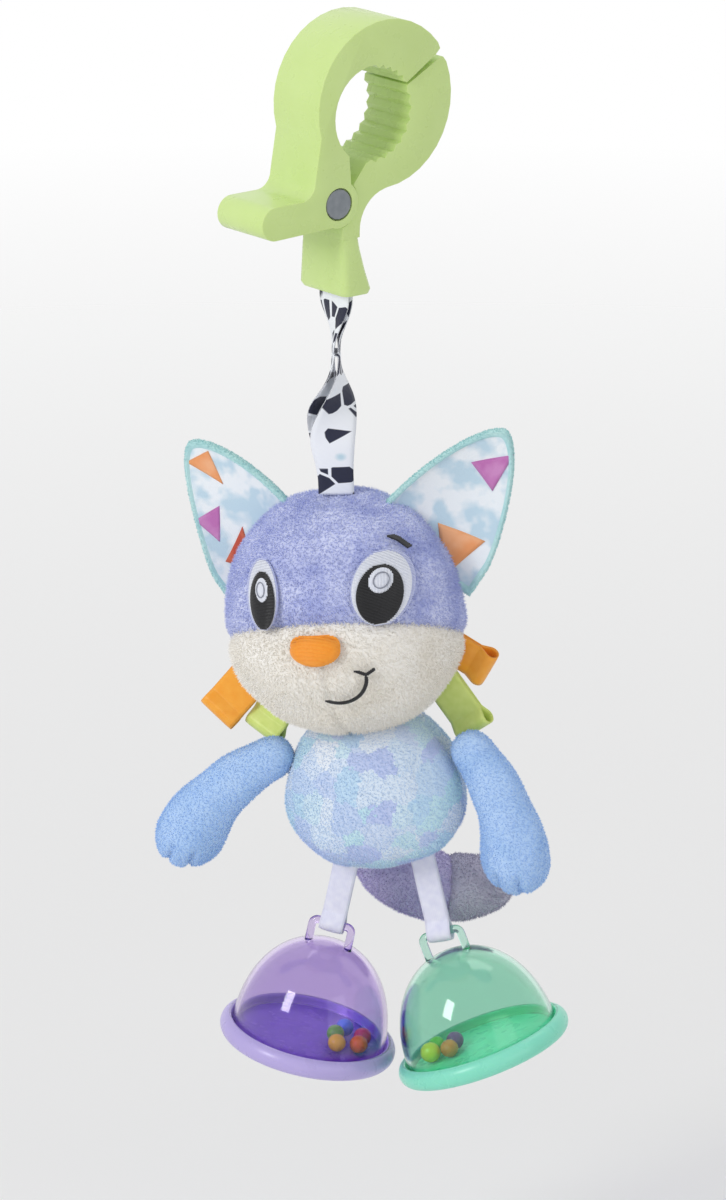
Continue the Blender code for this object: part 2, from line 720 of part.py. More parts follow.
def offset_outline(line, thickness):
    """The closed outline of a strip of a thickness that follows an open middle line."""
    left, right = [], []
    for k, point in enumerate(line):
        before = line[max(k - 1, 0)]
        after = line[min(k + 1, len(line) - 1)]
        du, dv = after[0] - before[0], after[1] - before[1]
        size = math.hypot(du, dv)
        normal = (-dv / size * thickness / 2, du / size * thickness / 2)
        left.append((point[0] + normal[0], point[1] + normal[1]))
        right.append((point[0] - normal[0], point[1] - normal[1]))
    return left + right[::-1]


def refined(line, step):
    """A line with a point at least every step along it."""
    points = [line[0]]
    for start, end in zip(line, line[1:]):
        count = max(1, math.ceil(math.dist(start, end) / step))
        for k in range(1, count + 1):
            points.append(tuple(a + (b - a) * k / count for a, b in zip(start, end)))
    return points


def smooth_share(share):
    """An even start and an even end between 0 and 1."""
    share = min(max(share, 0.0), 1.0)
    return share * share * (3 - 2 * share)


def hanging_ribbon(name, line, thickness, width_at, turn_at, bow_at, finish, frame, columns=1):
    """A ribbon that follows a line of (across, height) points and may twist and bow as it goes down.

    Width, turn and bow are functions of the height. A twisted ribbon needs several columns across.
    """
    places = [2 * k / columns - 1 for k in range(columns + 1)]
    section = [(1, place) for place in places] + [(-1, place) for place in places[::-1]]
    rings = []
    for k, (across, height) in enumerate(line):
        before = line[max(k - 1, 0)]
        after = line[min(k + 1, len(line) - 1)]
        run = Vector((after[0] - before[0], after[1] - before[1])).normalized()
        ring = []
        for face, place in section:
            off = across - face * run.y * thickness / 2
            level = height + face * run.x * thickness / 2
            turn = turn_at(level)
            wide = place * width_at(level) / 2
            ring.append(Vector((
                wide * math.cos(turn) - off * math.sin(turn) + bow_at(level),
                wide * math.sin(turn) + off * math.cos(turn),
                level,
            )))
        rings.append(ring)
    return skinned(name, rings, finish, frame)


def make_strap(upper_frame, lower_frame, bar_z, head_top_z):
    """The hanging ribbon: its loop through the clip's eye, and its twisted length down to the head."""
    upper_length = bar_z - STRAP_PINCH_Z - GAP / 2
    straight = (EYE_BAR_RADIUS + STRAP_CLEARANCE) * HAIRPIN_JOIN_SHARE * 2

    def upper_share(height):
        return smooth_share((-height - straight) / (upper_length - straight))

    fold = hairpin(EYE_BAR_RADIUS + STRAP_CLEARANCE, upper_length, STRAP_THICK, STRAP_LOOSE)
    hanging_ribbon(
        "strap_loop",
        refined(fold, STRAP_STEP),
        STRAP_THICK,
        lambda h: STRAP_WIDTH - (STRAP_WIDTH - STRAP_PINCH_WIDTH) * upper_share(h),
        lambda h: math.pi / 2 + STRAP_UPPER_TWIST * upper_share(h),
        lambda h: 0.0,
        STRAP_PRINT,
        upper_frame,
    )

    lower_length = lower_frame.matrix_world.translation.z - head_top_z - GAP
    lower_turn = CLIP_TURN + math.pi / 2 + STRAP_UPPER_TWIST

    def lower_share(height):
        return min(max(-height / lower_length, 0.0), 1.0)

    def spread(height):
        return math.sin(math.pi * lower_share(height)) ** 2

    close = (STRAP_LOOSE + STRAP_THICK) / 2
    steps = round(lower_length / STRAP_TWIST_STEP)
    front = []
    for k in range(steps + 1):
        height = -lower_length * k / steps
        front.append((close + STRAP_BULGE * spread(height), height))
    back = [(-across, height) for across, height in front[::-1]]
    fold = arc(0.0, 0.0, close, math.pi, 0.0, FOLD_STEP * 2)[1:-1]
    hanging_ribbon(
        "strap_tail",
        back + fold + front,
        STRAP_THICK,
        lambda h: STRAP_PINCH_WIDTH + (STRAP_WIDTH - STRAP_PINCH_WIDTH) * smooth_share(
            lower_share(h) / WIDEN_SHARE
        ),
        lambda h: lower_turn + STRAP_LOWER_TWIST * smooth_share(lower_share(h) / TWIST_SHARE),
        lambda h: -STRAP_BOW * spread(h),
        STRAP_PRINT,
        lower_frame,
        STRAP_COLUMNS,
    )


# Stuffed forms.


def stuffed(name, half_x, half_y, half_z, grow, finish, frame, columns, rows, shape_at=None):
    """A closed stuffed form, as rings from its foot to its crown. Grow is added to it on every side.

    shape_at gives, for a height from -1 to 1, the width's factor and a shift along Y.
    """
    rings = []
    for k in range(rows + 1):
        angle = math.pi * (k / rows - 0.5) * POLE_SHARE
        height = math.sin(angle) / math.sin(math.pi / 2 * POLE_SHARE)
        reach = max(1 - abs(height) ** STUFFED_POWER, 0.0) ** (1 / STUFFED_POWER)
        if k in (0, rows):
            reach = POLE_RING_SHARE
        factor, shift = shape_at(height) if shape_at else (1.0, 0.0)
        centre = Vector((0.0, shift * reach, (half_z + grow) * height))
        section = circle(columns)
        rings.append([
            centre + Vector((
                (half_x * factor + grow) * reach * p,
                (half_y * factor + grow) * reach * q,
                0.0,
            ))
            for p, q in section
        ])
    return skinned(name, rings, finish, frame)


def head_shape(height):
    """Cheeks and muzzle: wider and further forward just below the middle."""
    swell = math.exp(-((height + CHEEK_SHARE) / CHEEK_SPREAD_SHARE) ** 2)
    return 1 + CHEEK_SWELL_SHARE * swell, -MUZZLE_REACH * swell


def head_form(name, grow, finish, frame):
    """The head's outer form, grown or shrunk."""
    return stuffed(
        name, HEAD_HALF_WIDTH, HEAD_HALF_DEPTH, HEAD_HALF_HEIGHT, grow, finish, frame,
        HEAD_COLUMNS, HEAD_ROWS, head_shape,
    )


def body_shape(height):
    """A pear: wide below and narrow at the neck."""
    return 1 - PEAR_SHARE * height, 0.0


def body_form(name, grow, finish, frame):
    """The body's outer form, grown or shrunk."""
    return stuffed(
        name, BODY_HALF_WIDTH, BODY_HALF_DEPTH, BODY_HALF_HEIGHT, grow, finish, frame,
        BODY_COLUMNS, BODY_ROWS, body_shape,
    )


def half_space(name, height, slope, side, frame):
    """A big block whose face is a plane across the head. It slopes up towards the face at -Y."""
    reach = HEAD_HALF_WIDTH * 2
    outline = [
        (-reach, height + slope * reach),
        (reach, height - slope * reach),
        (reach, side * reach * 2),
        (-reach, side * reach * 2),
    ]
    rings = [[(x, y, z) for y, z in outline] for x in (-reach, reach)]
    return helper(skinned(name, rings, None, frame, smooth=False))


def make_head(frame):
    """Crown and muzzle as fabric shells that meet at the seam, and the filling inside them."""
    slope = (SEAM_BRIDGE_Z - SEAM_SIDE_Z) / (HEAD_HALF_DEPTH + MUZZLE_REACH)
    inner = helper(head_form("head_inside", -SKIN_THICK, None, frame))
    for name, side, finish in (("head_crown", -1, CROWN_PLUSH), ("head_muzzle", 1, CREAM_PLUSH)):
        shell = head_form(name, 0.0, finish, frame)
        combine(shell, inner)
        cut = half_space(f"{name}_seam", SEAM_SIDE_Z - side * GAP / 2, slope, side, frame)
        combine(shell, cut)
    head_form("head_filling", -SKIN_THICK - GAP, FILLING, frame)


def patch(name, outline, layer, finish, frame):
    """A thin stitched piece on the head's front. Layer 0 lies on the plush, and layer 1 on layer 0."""
    low = GAP + layer * (PATCH_THICK + GAP)
    piece = prism(name, outline, -HEAD_HALF_DEPTH * 2, 0.0, finish, frame)
    combine(piece, helper(head_form(f"{name}_top", low + PATCH_THICK, None, frame)), "INTERSECT")
    combine(piece, helper(head_form(f"{name}_under", low, None, frame)))
    return piece


def oval(centre_x, centre_z, half_x, half_z):
    """Points round an oval."""
    return [(centre_x + half_x * p, centre_z + half_z * q) for p, q in circle(OVAL_POINTS)]


def mouth_outline():
    """A smile with a small tick across its upper end."""
    middle_x = HEAD_HALF_WIDTH * MOUTH_PLACE_SHARE
    middle_z = HEAD_HALF_HEIGHT * MOUTH_HEIGHT_SHARE
    smile = arc(middle_x, middle_z, MOUTH_RADIUS, SMILE_START, SMILE_END)
    outline = offset_outline(smile, MOUTH_LINE)
    end_x, end_z = smile[-1]
    tick = [
        (end_x - MOUTH_TICK, end_z + MOUTH_LINE),
        (end_x - MOUTH_TICK + MOUTH_LINE / 2, end_z + MOUTH_LINE * 2),
        (end_x, end_z + MOUTH_LINE),
        (end_x + MOUTH_TICK - MOUTH_LINE, end_z + MOUTH_LINE * 2),
        (end_x + MOUTH_TICK - MOUTH_LINE / 2, end_z + MOUTH_LINE),
    ]
    return outline[:len(smile)] + tick + outline[len(smile):]


def make_face(frame):
    """Eyes, nose, mouth and eyebrow."""
    eye_z = HEAD_HALF_HEIGHT * EYE_HEIGHT_SHARE
    nose_z = HEAD_HALF_HEIGHT * NOSE_HEIGHT_SHARE
    eye_x = HEAD_HALF_WIDTH * EYE_PLACE_SHARE
    brow_x = eye_x + BROW_PAST_EYE
    brow_z = eye_z + BROW_ABOVE_EYE
    for name, side in (("right", -1), ("left", 1)):
        rim = oval(
            side * (eye_x + EYE_WHITE_OUT), eye_z + EYE_WHITE_RISE,
            EYE_HALF_WIDTH + EYE_WHITE_RIM, EYE_HALF_HEIGHT + EYE_WHITE_RIM,
        )
        patch(f"{name}_eye_white", rim, 0, EYE_WHITE, frame)
        eye = oval(side * eye_x, eye_z, EYE_HALF_WIDTH, EYE_HALF_HEIGHT)
        patch(f"{name}_eye", eye, 1, BLACK_THREAD, frame)
    rings = []
    for share in NOSE_RING_SHARES:
        reach = math.sqrt(1 - share**2)
        depth = -HEAD_HALF_DEPTH - MUZZLE_REACH * NOSE_SEAT_SHARE - NOSE_REACH * 2 * share
        rings.append([
            (x, depth, z)
            for x, z in oval(0.0, nose_z, NOSE_HALF_WIDTH * reach, NOSE_HALF_HEIGHT * reach)
        ])
    nose = skinned("nose", rings, ORANGE_PAD, frame)
    combine(nose, helper(head_form("nose_seat", GAP, None, frame)))
    patch("mouth", mouth_outline(), 0, BLACK_THREAD, frame)
    along = BROW_LENGTH / 2 * math.cos(BROW_SLOPE)
    rise = BROW_LENGTH / 2 * math.sin(BROW_SLOPE)
    brow = [
        (brow_x - along, brow_z - rise),
        (brow_x, brow_z + BROW_LINE / 3),
        (brow_x + along, brow_z + rise),
    ]
    patch("left_eyebrow", offset_outline(brow, BROW_LINE), 0, BLACK_THREAD, frame)


def ear_outline(half_width, length, base):
    """A leaf from its base to its tip, as (across, along) points."""
    side = []
    for k in range(EAR_POINTS + 1):
        share = base + (1 - base) * math.sin(math.pi / 2 * k / EAR_POINTS)
        half = half_width * max(1 - max(share, 0.0) ** EAR_POWER, 0.0) ** EAR_ROUND_POWER
        side.append((half, share * length))
    return side[:-1] + [(0.0, length)] + [(-across, along) for across, along in side[-2::-1]]


def make_ears(frame, gap_form):
    """Each ear is a stuffed plush back with a rim, and a cloth panel set into its front."""
    for name, side in (("right", -1), ("left", 1)):
        at = frame.matrix_world @ Vector((side * EAR_X, EAR_Y, EAR_Z))
        turn = (0.0, side * EAR_TILT + HEAD_ROLL, side * EAR_TURN)
        ear_frame = axis_frame(f"{name}_ear_base", at, turn, frame)
        front, back = -EAR_DEPTH * EAR_FRONT_SHARE, EAR_DEPTH * (1 - EAR_FRONT_SHARE)
        rings = []
        for end, depth_share, inset_share in EAR_RING_SHARES:
            depth = (back if end else front) * depth_share
            inset = EAR_RIM * inset_share
            outline = ear_outline(EAR_HALF_WIDTH - inset, EAR_LENGTH - inset, EAR_BASE_SHARE)
            rings.append([(across, depth, along) for across, along in outline])
        plush = skinned(f"{name}_ear_back", rings, EAR_PLUSH, ear_frame)
        hollow = ear_outline(EAR_HALF_WIDTH - EAR_RIM, EAR_LENGTH - EAR_RIM, EAR_BASE_SHARE - EAR_CUT_SHARE)
        recess = prism(
            f"{name}_ear_recess", hollow, front - OVERRUN, front + EAR_PANEL_THICK + GAP, None, ear_frame
        )
        combine(plush, helper(recess))
        combine(plush, gap_form)
        inset = EAR_RIM + GAP
        panel_outline = ear_outline(EAR_HALF_WIDTH - inset, EAR_LENGTH - inset, EAR_BASE_SHARE)
        panel = prism(
            f"{name}_ear_panel", panel_outline, front, front + EAR_PANEL_THICK, EAR_CLOTH, ear_frame
        )
        combine(panel, gap_form)


def make_tags(frame, gap_form):
    """Four satin loops that stand out from the sides of the head."""
    for name, side in (("right", -1), ("left", 1)):
        for colour, angle, finish in (
            ("orange", ORANGE_TAG_ANGLE, ORANGE_SATIN),
            ("lime", LIME_TAG_ANGLE, LIME_SATIN),
        ):
            out = Vector((side * math.cos(angle), 0.0, -math.sin(angle)))
            reach = 1 / math.hypot(math.cos(angle) / HEAD_HALF_WIDTH, math.sin(angle) / HEAD_HALF_HEIGHT)
            at = frame.matrix_world @ (out * (reach + TAG_REACH) + Vector((0.0, TAG_Y, 0.0)))
            turn = (0.0, HEAD_ROLL + side * (math.radians(90) + angle), 0.0)
            tag_frame = axis_frame(f"{name}_{colour}_tag_fold", at, turn, frame)
            radius = TAG_FOLD
            line = hairpin(radius, TAG_REACH + TAG_ROOT - radius, TAG_SATIN, TAG_SATIN)
            twist = LEFT_TAG_TWIST if side > 0 else RIGHT_TAG_TWIST
            tag = hanging_ribbon(
                f"{name}_{colour}_tag",
                line,
                TAG_SATIN,
                lambda h: TAG_WIDTH,
                lambda h, twist=twist: twist,
                lambda h: 0.0,
                finish,
                tag_frame,
            )
            combine(tag, gap_form)


# Body and limbs.


def limb_radius(limb, place, grow):
    """The radius at a place along a limb. It closes as a dome at the tip."""
    shares, radii, length, _ = limb
    tip = radii[-1] + grow
    into = (place - (length + grow - tip)) / tip
    radius = blend_of(shares, radii, place / length) + grow
    return radius * math.sqrt(max(1 - into * into, 0.0)) if into > 0 else radius


def limb_end(limb, grow):
    """How far along a limb its last ring lies."""
    _, radii, length, _ = limb
    return length + grow - (radii[-1] + grow) * TIP_FLAT_SHARE


def limb_rings(limb, start, end, grow, rows):
    """Rings along a limb that leaves the origin along +X and bends down, closest at their end."""
    _, _, length, bend = limb
    turn_radius = length / bend
    rings = []
    for k in range(rows + 1):
        place = start + (end - start) * math.sin(math.pi / 2 * k / rows)
        angle = bend * place / length
        centre = Vector((turn_radius * math.sin(angle), 0.0, -turn_radius * (1 - math.cos(angle))))
        radius = limb_radius(limb, place, grow)
        across = Vector((math.sin(angle), 0.0, math.cos(angle))) * radius
        rings.append(ring_at(centre, across, Vector((0, radius * LIMB_FLAT_SHARE, 0)), circle(LIMB_COLUMNS)))
    return rings


def root_rings(limb, grow):
    """The root's half ball, which turns in its socket, from its inner end to the joint's axis."""
    radius = limb[1][0]
    rings = []
    for degrees in ROOT_RING_ANGLES:
        angle = math.radians(degrees)
        reach = radius * math.cos(angle) + grow
        rings.append(ring_at(
            Vector((-radius * math.sin(angle), 0.0, 0.0)),
            Vector((0, 0, reach)),
            Vector((0, reach * LIMB_FLAT_SHARE, 0)),
            circle(LIMB_COLUMNS),
        ))
    return rings


def limb_form(limb, end, grow, rows=LIMB_ROWS):
    """All rings of a limb from its root to an end."""
    return root_rings(limb, grow) + limb_rings(limb, 0.0, end, grow, rows)[1:]


def blend_of(shares, values, share):
    """A smooth curve through values at shares."""
    for (s0, v0), (s1, v1) in zip(zip(shares, values), zip(shares[1:], values[1:])):
        if share <= s1:
            return v0 + (v1 - v0) * smooth_share((share - s0) / (s1 - s0))
    return values[-1]


def mirrored(rings, side):
    """Rings turned to point along -X where the side is -1."""
    return [[Vector((point[0] * side, point[1], point[2])) for point in ring] for ring in rings]


def make_arm(name, side, shoulder, droop, parent):
    """A stuffed arm: a plush sock, open at its root, and its filling."""
    turn = (0.0, side * droop, side * -ARM_FORWARD)
    frame = axis_frame(f"{name}_shoulder_axis", shoulder, turn, parent)
    limb = (ARM_SHARES, (SHOULDER_RADIUS, ELBOW_RADIUS, PAW_RADIUS, PAW_RADIUS), ARM_LENGTH, ARM_BEND)
    outer = limb_form(limb, limb_end(limb, 0.0), 0.0)
    inner = limb_form(limb, limb_end(limb, -SKIN_THICK), -SKIN_THICK)
    skinned(f"{name}_skin", mirrored(outer[::-1] + inner, side), ARM_PLUSH, frame)
    filling = limb_form(limb, limb_end(limb, -SKIN_THICK - GAP), -SKIN_THICK - GAP)
    skinned(f"{name}_filling", mirrored(filling, side), FILLING, frame)
    return frame


def ball(name, at, radius, finish, frame, columns=LIMB_COLUMNS, rows=SOCKET_ROWS):
    """A round ball at a place in the frame."""
    shape = bmesh.new()
    bmesh.ops.create_uvsphere(
        shape, u_segments=columns, v_segments=rows, radius=radius, matrix=Matrix.Translation(Vector(at))
    )
    return object_from(name, shape, finish, frame)


def body_reach(height):
    """The width's share at a height of the body, from -1 to 1."""
    return max(1 - abs(height) ** STUFFED_POWER, 0.0) ** (1 / STUFFED_POWER) * body_shape(height)[0]


def under_body(place):
    """The point of the body's underside at a place across it."""
    height = -1.0
    for _ in range(12):
        share = min(abs(place) / (BODY_HALF_WIDTH * body_shape(height)[0]), 1.0)
        height = -((1 - share**STUFFED_POWER) ** (1 / STUFFED_POWER))
    return Vector((place, 0.0, height * BODY_HALF_HEIGHT))


def make_body(frame, head_gap, sockets):
    """Front and back panels sewn at the sides, and the filling."""
    inner = helper(body_form("body_inside", -SKIN_THICK, None, frame))
    reach = BODY_HALF_WIDTH * 2
    for name, side in (("body_front", -1), ("body_back", 1)):
        shell = body_form(name, 0.0, BODY_PLUSH, frame)
        combine(shell, inner)
        seam = -side * GAP / 2
        low, high = sorted((-seam, -side * reach))
        half = box(f"{name}_seam", (-reach, low, -reach), (reach, high, reach), None, frame)
        combine(shell, helper(half))
        combine(shell, head_gap)
        for socket in sockets:
            combine(shell, socket)
    filling = body_form("body_filling", -SKIN_THICK - GAP, FILLING, frame)
    combine(filling, head_gap)
    for socket in sockets:
        combine(filling, socket)


def make_tail(root, parent):
    """Tail and its pale tip, as plush socks that meet at a seam, and the filling."""
    frame = axis_frame("tail_axis", root, (0.0, TAIL_DROOP, TAIL_BACK), parent)
    radii = (TAIL_ROOT_RADIUS, TAIL_BELLY_RADIUS, TAIL_BELLY_RADIUS, TAIL_TIP_RADIUS)
    limb = (TAIL_SHARES, radii, TAIL_LENGTH, TAIL_BEND)
    seam = TAIL_LENGTH - TAIL_TIP_LENGTH
    outer = limb_form(limb, seam - GAP / 2, 0.0, TAIL_ROWS)
    inner = limb_form(limb, seam - GAP / 2, -SKIN_THICK, TAIL_ROWS)
    skinned("tail_skin", outer + inner[::-1], TAIL_PLUSH, frame, wrap=True)
    tip_outer = limb_rings(limb, seam + GAP / 2, limb_end(limb, 0.0), 0.0, TAIL_ROWS)
    tip_inner = limb_rings(limb, seam + GAP / 2, limb_end(limb, -SKIN_THICK), -SKIN_THICK, TAIL_ROWS)
    skinned("tail_tip", tip_outer[::-1] + tip_inner, TIP_PLUSH, frame)
    filling = limb_form(limb, limb_end(limb, -SKIN_THICK - GAP), -SKIN_THICK - GAP, TAIL_FILLING_ROWS)
    skinned("tail_filling", filling, FILLING, frame)
    return frame


def make_leg(name, top, slope, length, roll, parent):
    """A leg's ribbon, from its hem in the body down round the rattle's bar. Returns the bar's place."""
    hem_frame = axis_frame(f"{name}_leg_hem_axis", top, (0.0, slope, 0.0), parent)
    bar = top + Matrix.Rotation(roll, 3, "Y") @ Vector((0.0, 0.0, -length))
    bar_frame = axis_frame(f"{name}_leg_loop", bar, (0.0, math.pi + roll, 0.0), hem_frame)
    line = refined(hairpin(BAR_RADIUS + BAR_CLEARANCE, length, LEG_RIBBON, LEG_LOOSE), LEG_STEP)
    hanging_ribbon(
        f"{name}_leg_ribbon",
        line,
        LEG_RIBBON,
        lambda h: LEG_WIDTH,
        lambda h: 0.0,
        lambda h: 0.0,
        LEG_SATIN,
        bar_frame,
    )
    return bar, hem_frame


def dome_profile(radius, height, foot):
    """Points of a dome's outline from its foot to its top."""
    points = []
    for k in range(DOME_ROWS + 1):
        angle = math.pi / 2 * k / DOME_ROWS
        across = math.cos(angle) ** (2 / DOME_POWER)
        rise = math.sin(angle) ** (2 / DOME_POWER)
        points.append((radius * across if k < DOME_ROWS else 0.0, foot + height * rise))
    return points


def make_rattle(name, bar, roll, parent, clear, opaque, beads):
    """A clear dome with its moulded loop, a rim that closes it, a floor and loose beads."""
    frame = axis_frame(f"{name}_rattle_bar_axis", bar, (0.0, roll, 0.0), parent)
    rim = -LOOP_RISE - DOME_HEIGHT
    floor_top = rim - RIM_SEAT + GAP + FLOOR_THICK
    foot = floor_top + GAP
    outer = dome_profile(DOME_RADIUS, -LOOP_RISE - foot, foot)
    inner = dome_profile(DOME_RADIUS - DOME_WALL, -LOOP_RISE - foot - DOME_WALL, foot)
    dome = turned(f"{name}_dome", outer + inner[::-1], clear, frame)
    post = -LOOP_RISE - DOME_WALL - GAP
    loop = [Vector((-LOOP_HALF_WIDTH, 0.0, post)), Vector((-LOOP_HALF_WIDTH, 0.0, -LOOP_CORNER))]
    loop += [
        Vector((x, 0.0, z))
        for x, z in arc(
            -LOOP_HALF_WIDTH + LOOP_CORNER, -LOOP_CORNER, LOOP_CORNER, math.pi, math.pi / 2, FOLD_STEP
        )[1:]
    ]
    loop += [Vector((-point.x, 0.0, point.z)) for point in loop[::-1]]
    staple = wire(f"{name}_loop_form", loop, BAR_RADIUS, clear, frame, BAR_SIDES)
    combine(dome, helper(staple), "UNION")

    seat_radius = DOME_RADIUS + GAP
    ledge_radius = DOME_RADIUS - RIM_LEDGE
    rim_round = (RIM_RADIUS - seat_radius) * RIM_LIP_SHARE
    middle = rim - (RIM_DROP - RIM_RISE) / 2
    half = (RIM_DROP + RIM_RISE) / 2
    profile = [
        (seat_radius + rim_round, rim + RIM_RISE),
        (seat_radius, rim + RIM_RISE - rim_round),
        (seat_radius, rim - RIM_SEAT),
        (ledge_radius, rim - RIM_SEAT),
        (ledge_radius, rim - RIM_DROP),
        (RIM_RADIUS - half * RIM_FOOT_SHARE, rim - RIM_DROP),
    ]
    for degrees in RIM_ROUND_ANGLES:
        angle = math.radians(degrees)
        inset = half * RIM_ROUND_SHARE * (1 - math.cos(angle))
        profile.append((RIM_RADIUS - inset, middle + half * math.sin(angle)))
    turned(f"{name}_rim", profile, opaque, frame)

    floor_foot = floor_top - FLOOR_THICK
    disc = [(0.0, floor_foot), (DOME_RADIUS, floor_foot), (DOME_RADIUS, floor_top), (0.0, floor_top)]
    turned(f"{name}_floor", disc, opaque, frame)
    bead_frame = axis_frame(
        f"{name}_beads_axis", frame.matrix_world @ Vector((0.0, 0.0, floor_top)), (0.0, roll, 0.0), frame
    )
    for colour, (across, deep), radius in beads:
        finish = (f"{colour}_bead_plastic", BEAD_COLOURS[colour], BEAD_ROUGHNESS, 0.0)
        ball(
            f"{name}_{colour}_bead", (across, deep, radius + GAP), radius, finish, bead_frame,
            BEAD_COLUMNS, BEAD_ROWS,
        )
    return frame


def main():
    """Builds the toy."""
    for old in list(bpy.data.objects):
        bpy.data.objects.remove(old, do_unlink=True)

    clip_turn = Matrix.Rotation(CLIP_TURN, 3, "Z")
    clip_at = clip_turn @ Vector((-HOLE_U, 0.0, -HOLE_V))
    clip_frame = axis_frame("clip_pin_axis", clip_at, (0.0, 0.0, CLIP_TURN))
    bar_v = make_clip(clip_frame)

    bar = clip_frame.matrix_world @ Vector((FOOT_U, 0.0, bar_v))
    upper = axis_frame("strap_eye_axis", bar, (0.0, 0.0, CLIP_TURN), clip_frame)
    fold_drop = GAP / 2 + STRAP_LOOSE / 2 + STRAP_THICK
    lower = axis_frame("strap_pinch_axis", (bar.x, bar.y, STRAP_PINCH_Z - fold_drop), parent=upper)
    head_top = HEAD_Z + HEAD_HALF_HEIGHT
    make_strap(upper, lower, bar.z, head_top)

    hang = axis_frame("toy_twist_axis", (bar.x, bar.y, head_top), parent=lower)
    head = axis_frame("head_middle", (HEAD_X, HEAD_Y, HEAD_Z), (0.0, HEAD_ROLL, 0.0), hang)
    make_head(head)
    make_face(head)
    head_gap = helper(head_form("head_clearance", GAP, None, head))
    make_ears(head, head_gap)
    make_tags(head, head_gap)

    body_z = HEAD_Z - HEAD_HALF_HEIGHT - BODY_HALF_HEIGHT + NECK_SINK
    body = axis_frame("body_middle", (BODY_X, BODY_Y, body_z), (0.0, BODY_LEAN, 0.0), hang)
    sockets = []
    for name, side, height, out, droop in (
        ("right", -1, RIGHT_SHOULDER_HEIGHT, RIGHT_SHOULDER_OUT, RIGHT_ARM_DROOP),
        ("left", 1, LEFT_SHOULDER_HEIGHT, LEFT_SHOULDER_OUT, LEFT_ARM_DROOP),
    ):
        across = BODY_HALF_WIDTH * body_reach(height / BODY_HALF_HEIGHT) + out
        place = Vector((side * across, SHOULDER_Y, height))
        make_arm(f"{name}_arm", side, body.matrix_world @ place, droop, body)
        sockets.append(helper(ball(f"{name}_shoulder_socket", place, SHOULDER_RADIUS + GAP, None, body)))

    deep = BODY_HALF_DEPTH * body_reach(TAIL_ROOT_HEIGHT / BODY_HALF_HEIGHT) + TAIL_ROOT_OUT
    tail_root = Vector((TAIL_ROOT_X, deep, TAIL_ROOT_HEIGHT))
    make_tail(body.matrix_world @ tail_root, body)
    sockets.append(helper(ball("tail_socket", tail_root, TAIL_ROOT_RADIUS + GAP, None, body)))

    purple_beads = (
        ("blue", PURPLE_BLUE_BEAD, BEAD_RADIUS),
        ("green", PURPLE_GREEN_BEAD, BEAD_RADIUS),
        ("yellow", PURPLE_YELLOW_BEAD, BEAD_RADIUS),
        ("orange", PURPLE_ORANGE_BEAD, BEAD_RADIUS),
        ("red", PURPLE_RED_BEAD, BEAD_RADIUS),
    )
    green_beads = (
        ("yellow", GREEN_YELLOW_BEAD, BIG_BEAD_RADIUS),
        ("green", GREEN_GREEN_BEAD, BEAD_RADIUS),
        ("orange", GREEN_ORANGE_BEAD, BEAD_RADIUS),
        ("plum", GREEN_PLUM_BEAD, BEAD_RADIUS),
    )
    for name, place, length, leg_roll, roll, rattle, clear, opaque, beads in (
        ("right", RIGHT_LEG_PLACE, RIGHT_LEG_LENGTH, RIGHT_LEG_ROLL, RIGHT_RATTLE_ROLL, "purple",
         VIOLET_CLEAR, LILAC_PLASTIC, purple_beads),
        ("left", LEFT_LEG_PLACE, LEFT_LEG_LENGTH, LEFT_LEG_ROLL, LEFT_RATTLE_ROLL, "green",
         GREEN_CLEAR, MINT_PLASTIC, green_beads),
    ):
        hem = body.matrix_world @ under_body(place)
        beside = under_body(place + LEG_WIDTH / 2) - under_body(place - LEG_WIDTH / 2)
        slope = BODY_LEAN - math.atan2(beside.z, beside.x)
        rattle_bar, hem_frame = make_leg(name, hem, slope, length, leg_roll, body)
        half = LEG_WIDTH / 2 + GAP * 2
        rings = [[(x, y, z) for y, z in circle(GROOVE_POINTS, HEM_GROOVE_RADIUS)] for x in (-half, half)]
        sockets.append(helper(skinned(f"{name}_hem_groove", rings, None, hem_frame)))
        make_rattle(rattle, rattle_bar, roll, hem_frame, clear, opaque, beads)

    make_body(body, head_gap, sockets)


main()
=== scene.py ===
"""The looks of a hanging pram toy: a plush fox on a printed ribbon, with two clear rattles as its feet.

Metres, +Z up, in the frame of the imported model. The origin is the middle of the clip's jaw hole and the fox
faces -Y. Left and right are the fox's own, so left is +X. Sizes whose name ends in _mm are millimetres.
"""

from __future__ import annotations

import json
import logging
import math
from collections.abc import Callable, Iterator, Sequence
from contextlib import contextmanager
from dataclasses import dataclass, field
from enum import Enum
from functools import cache, partial

import bmesh
import bpy
import numpy as np
from mathutils import Euler, Matrix, Vector

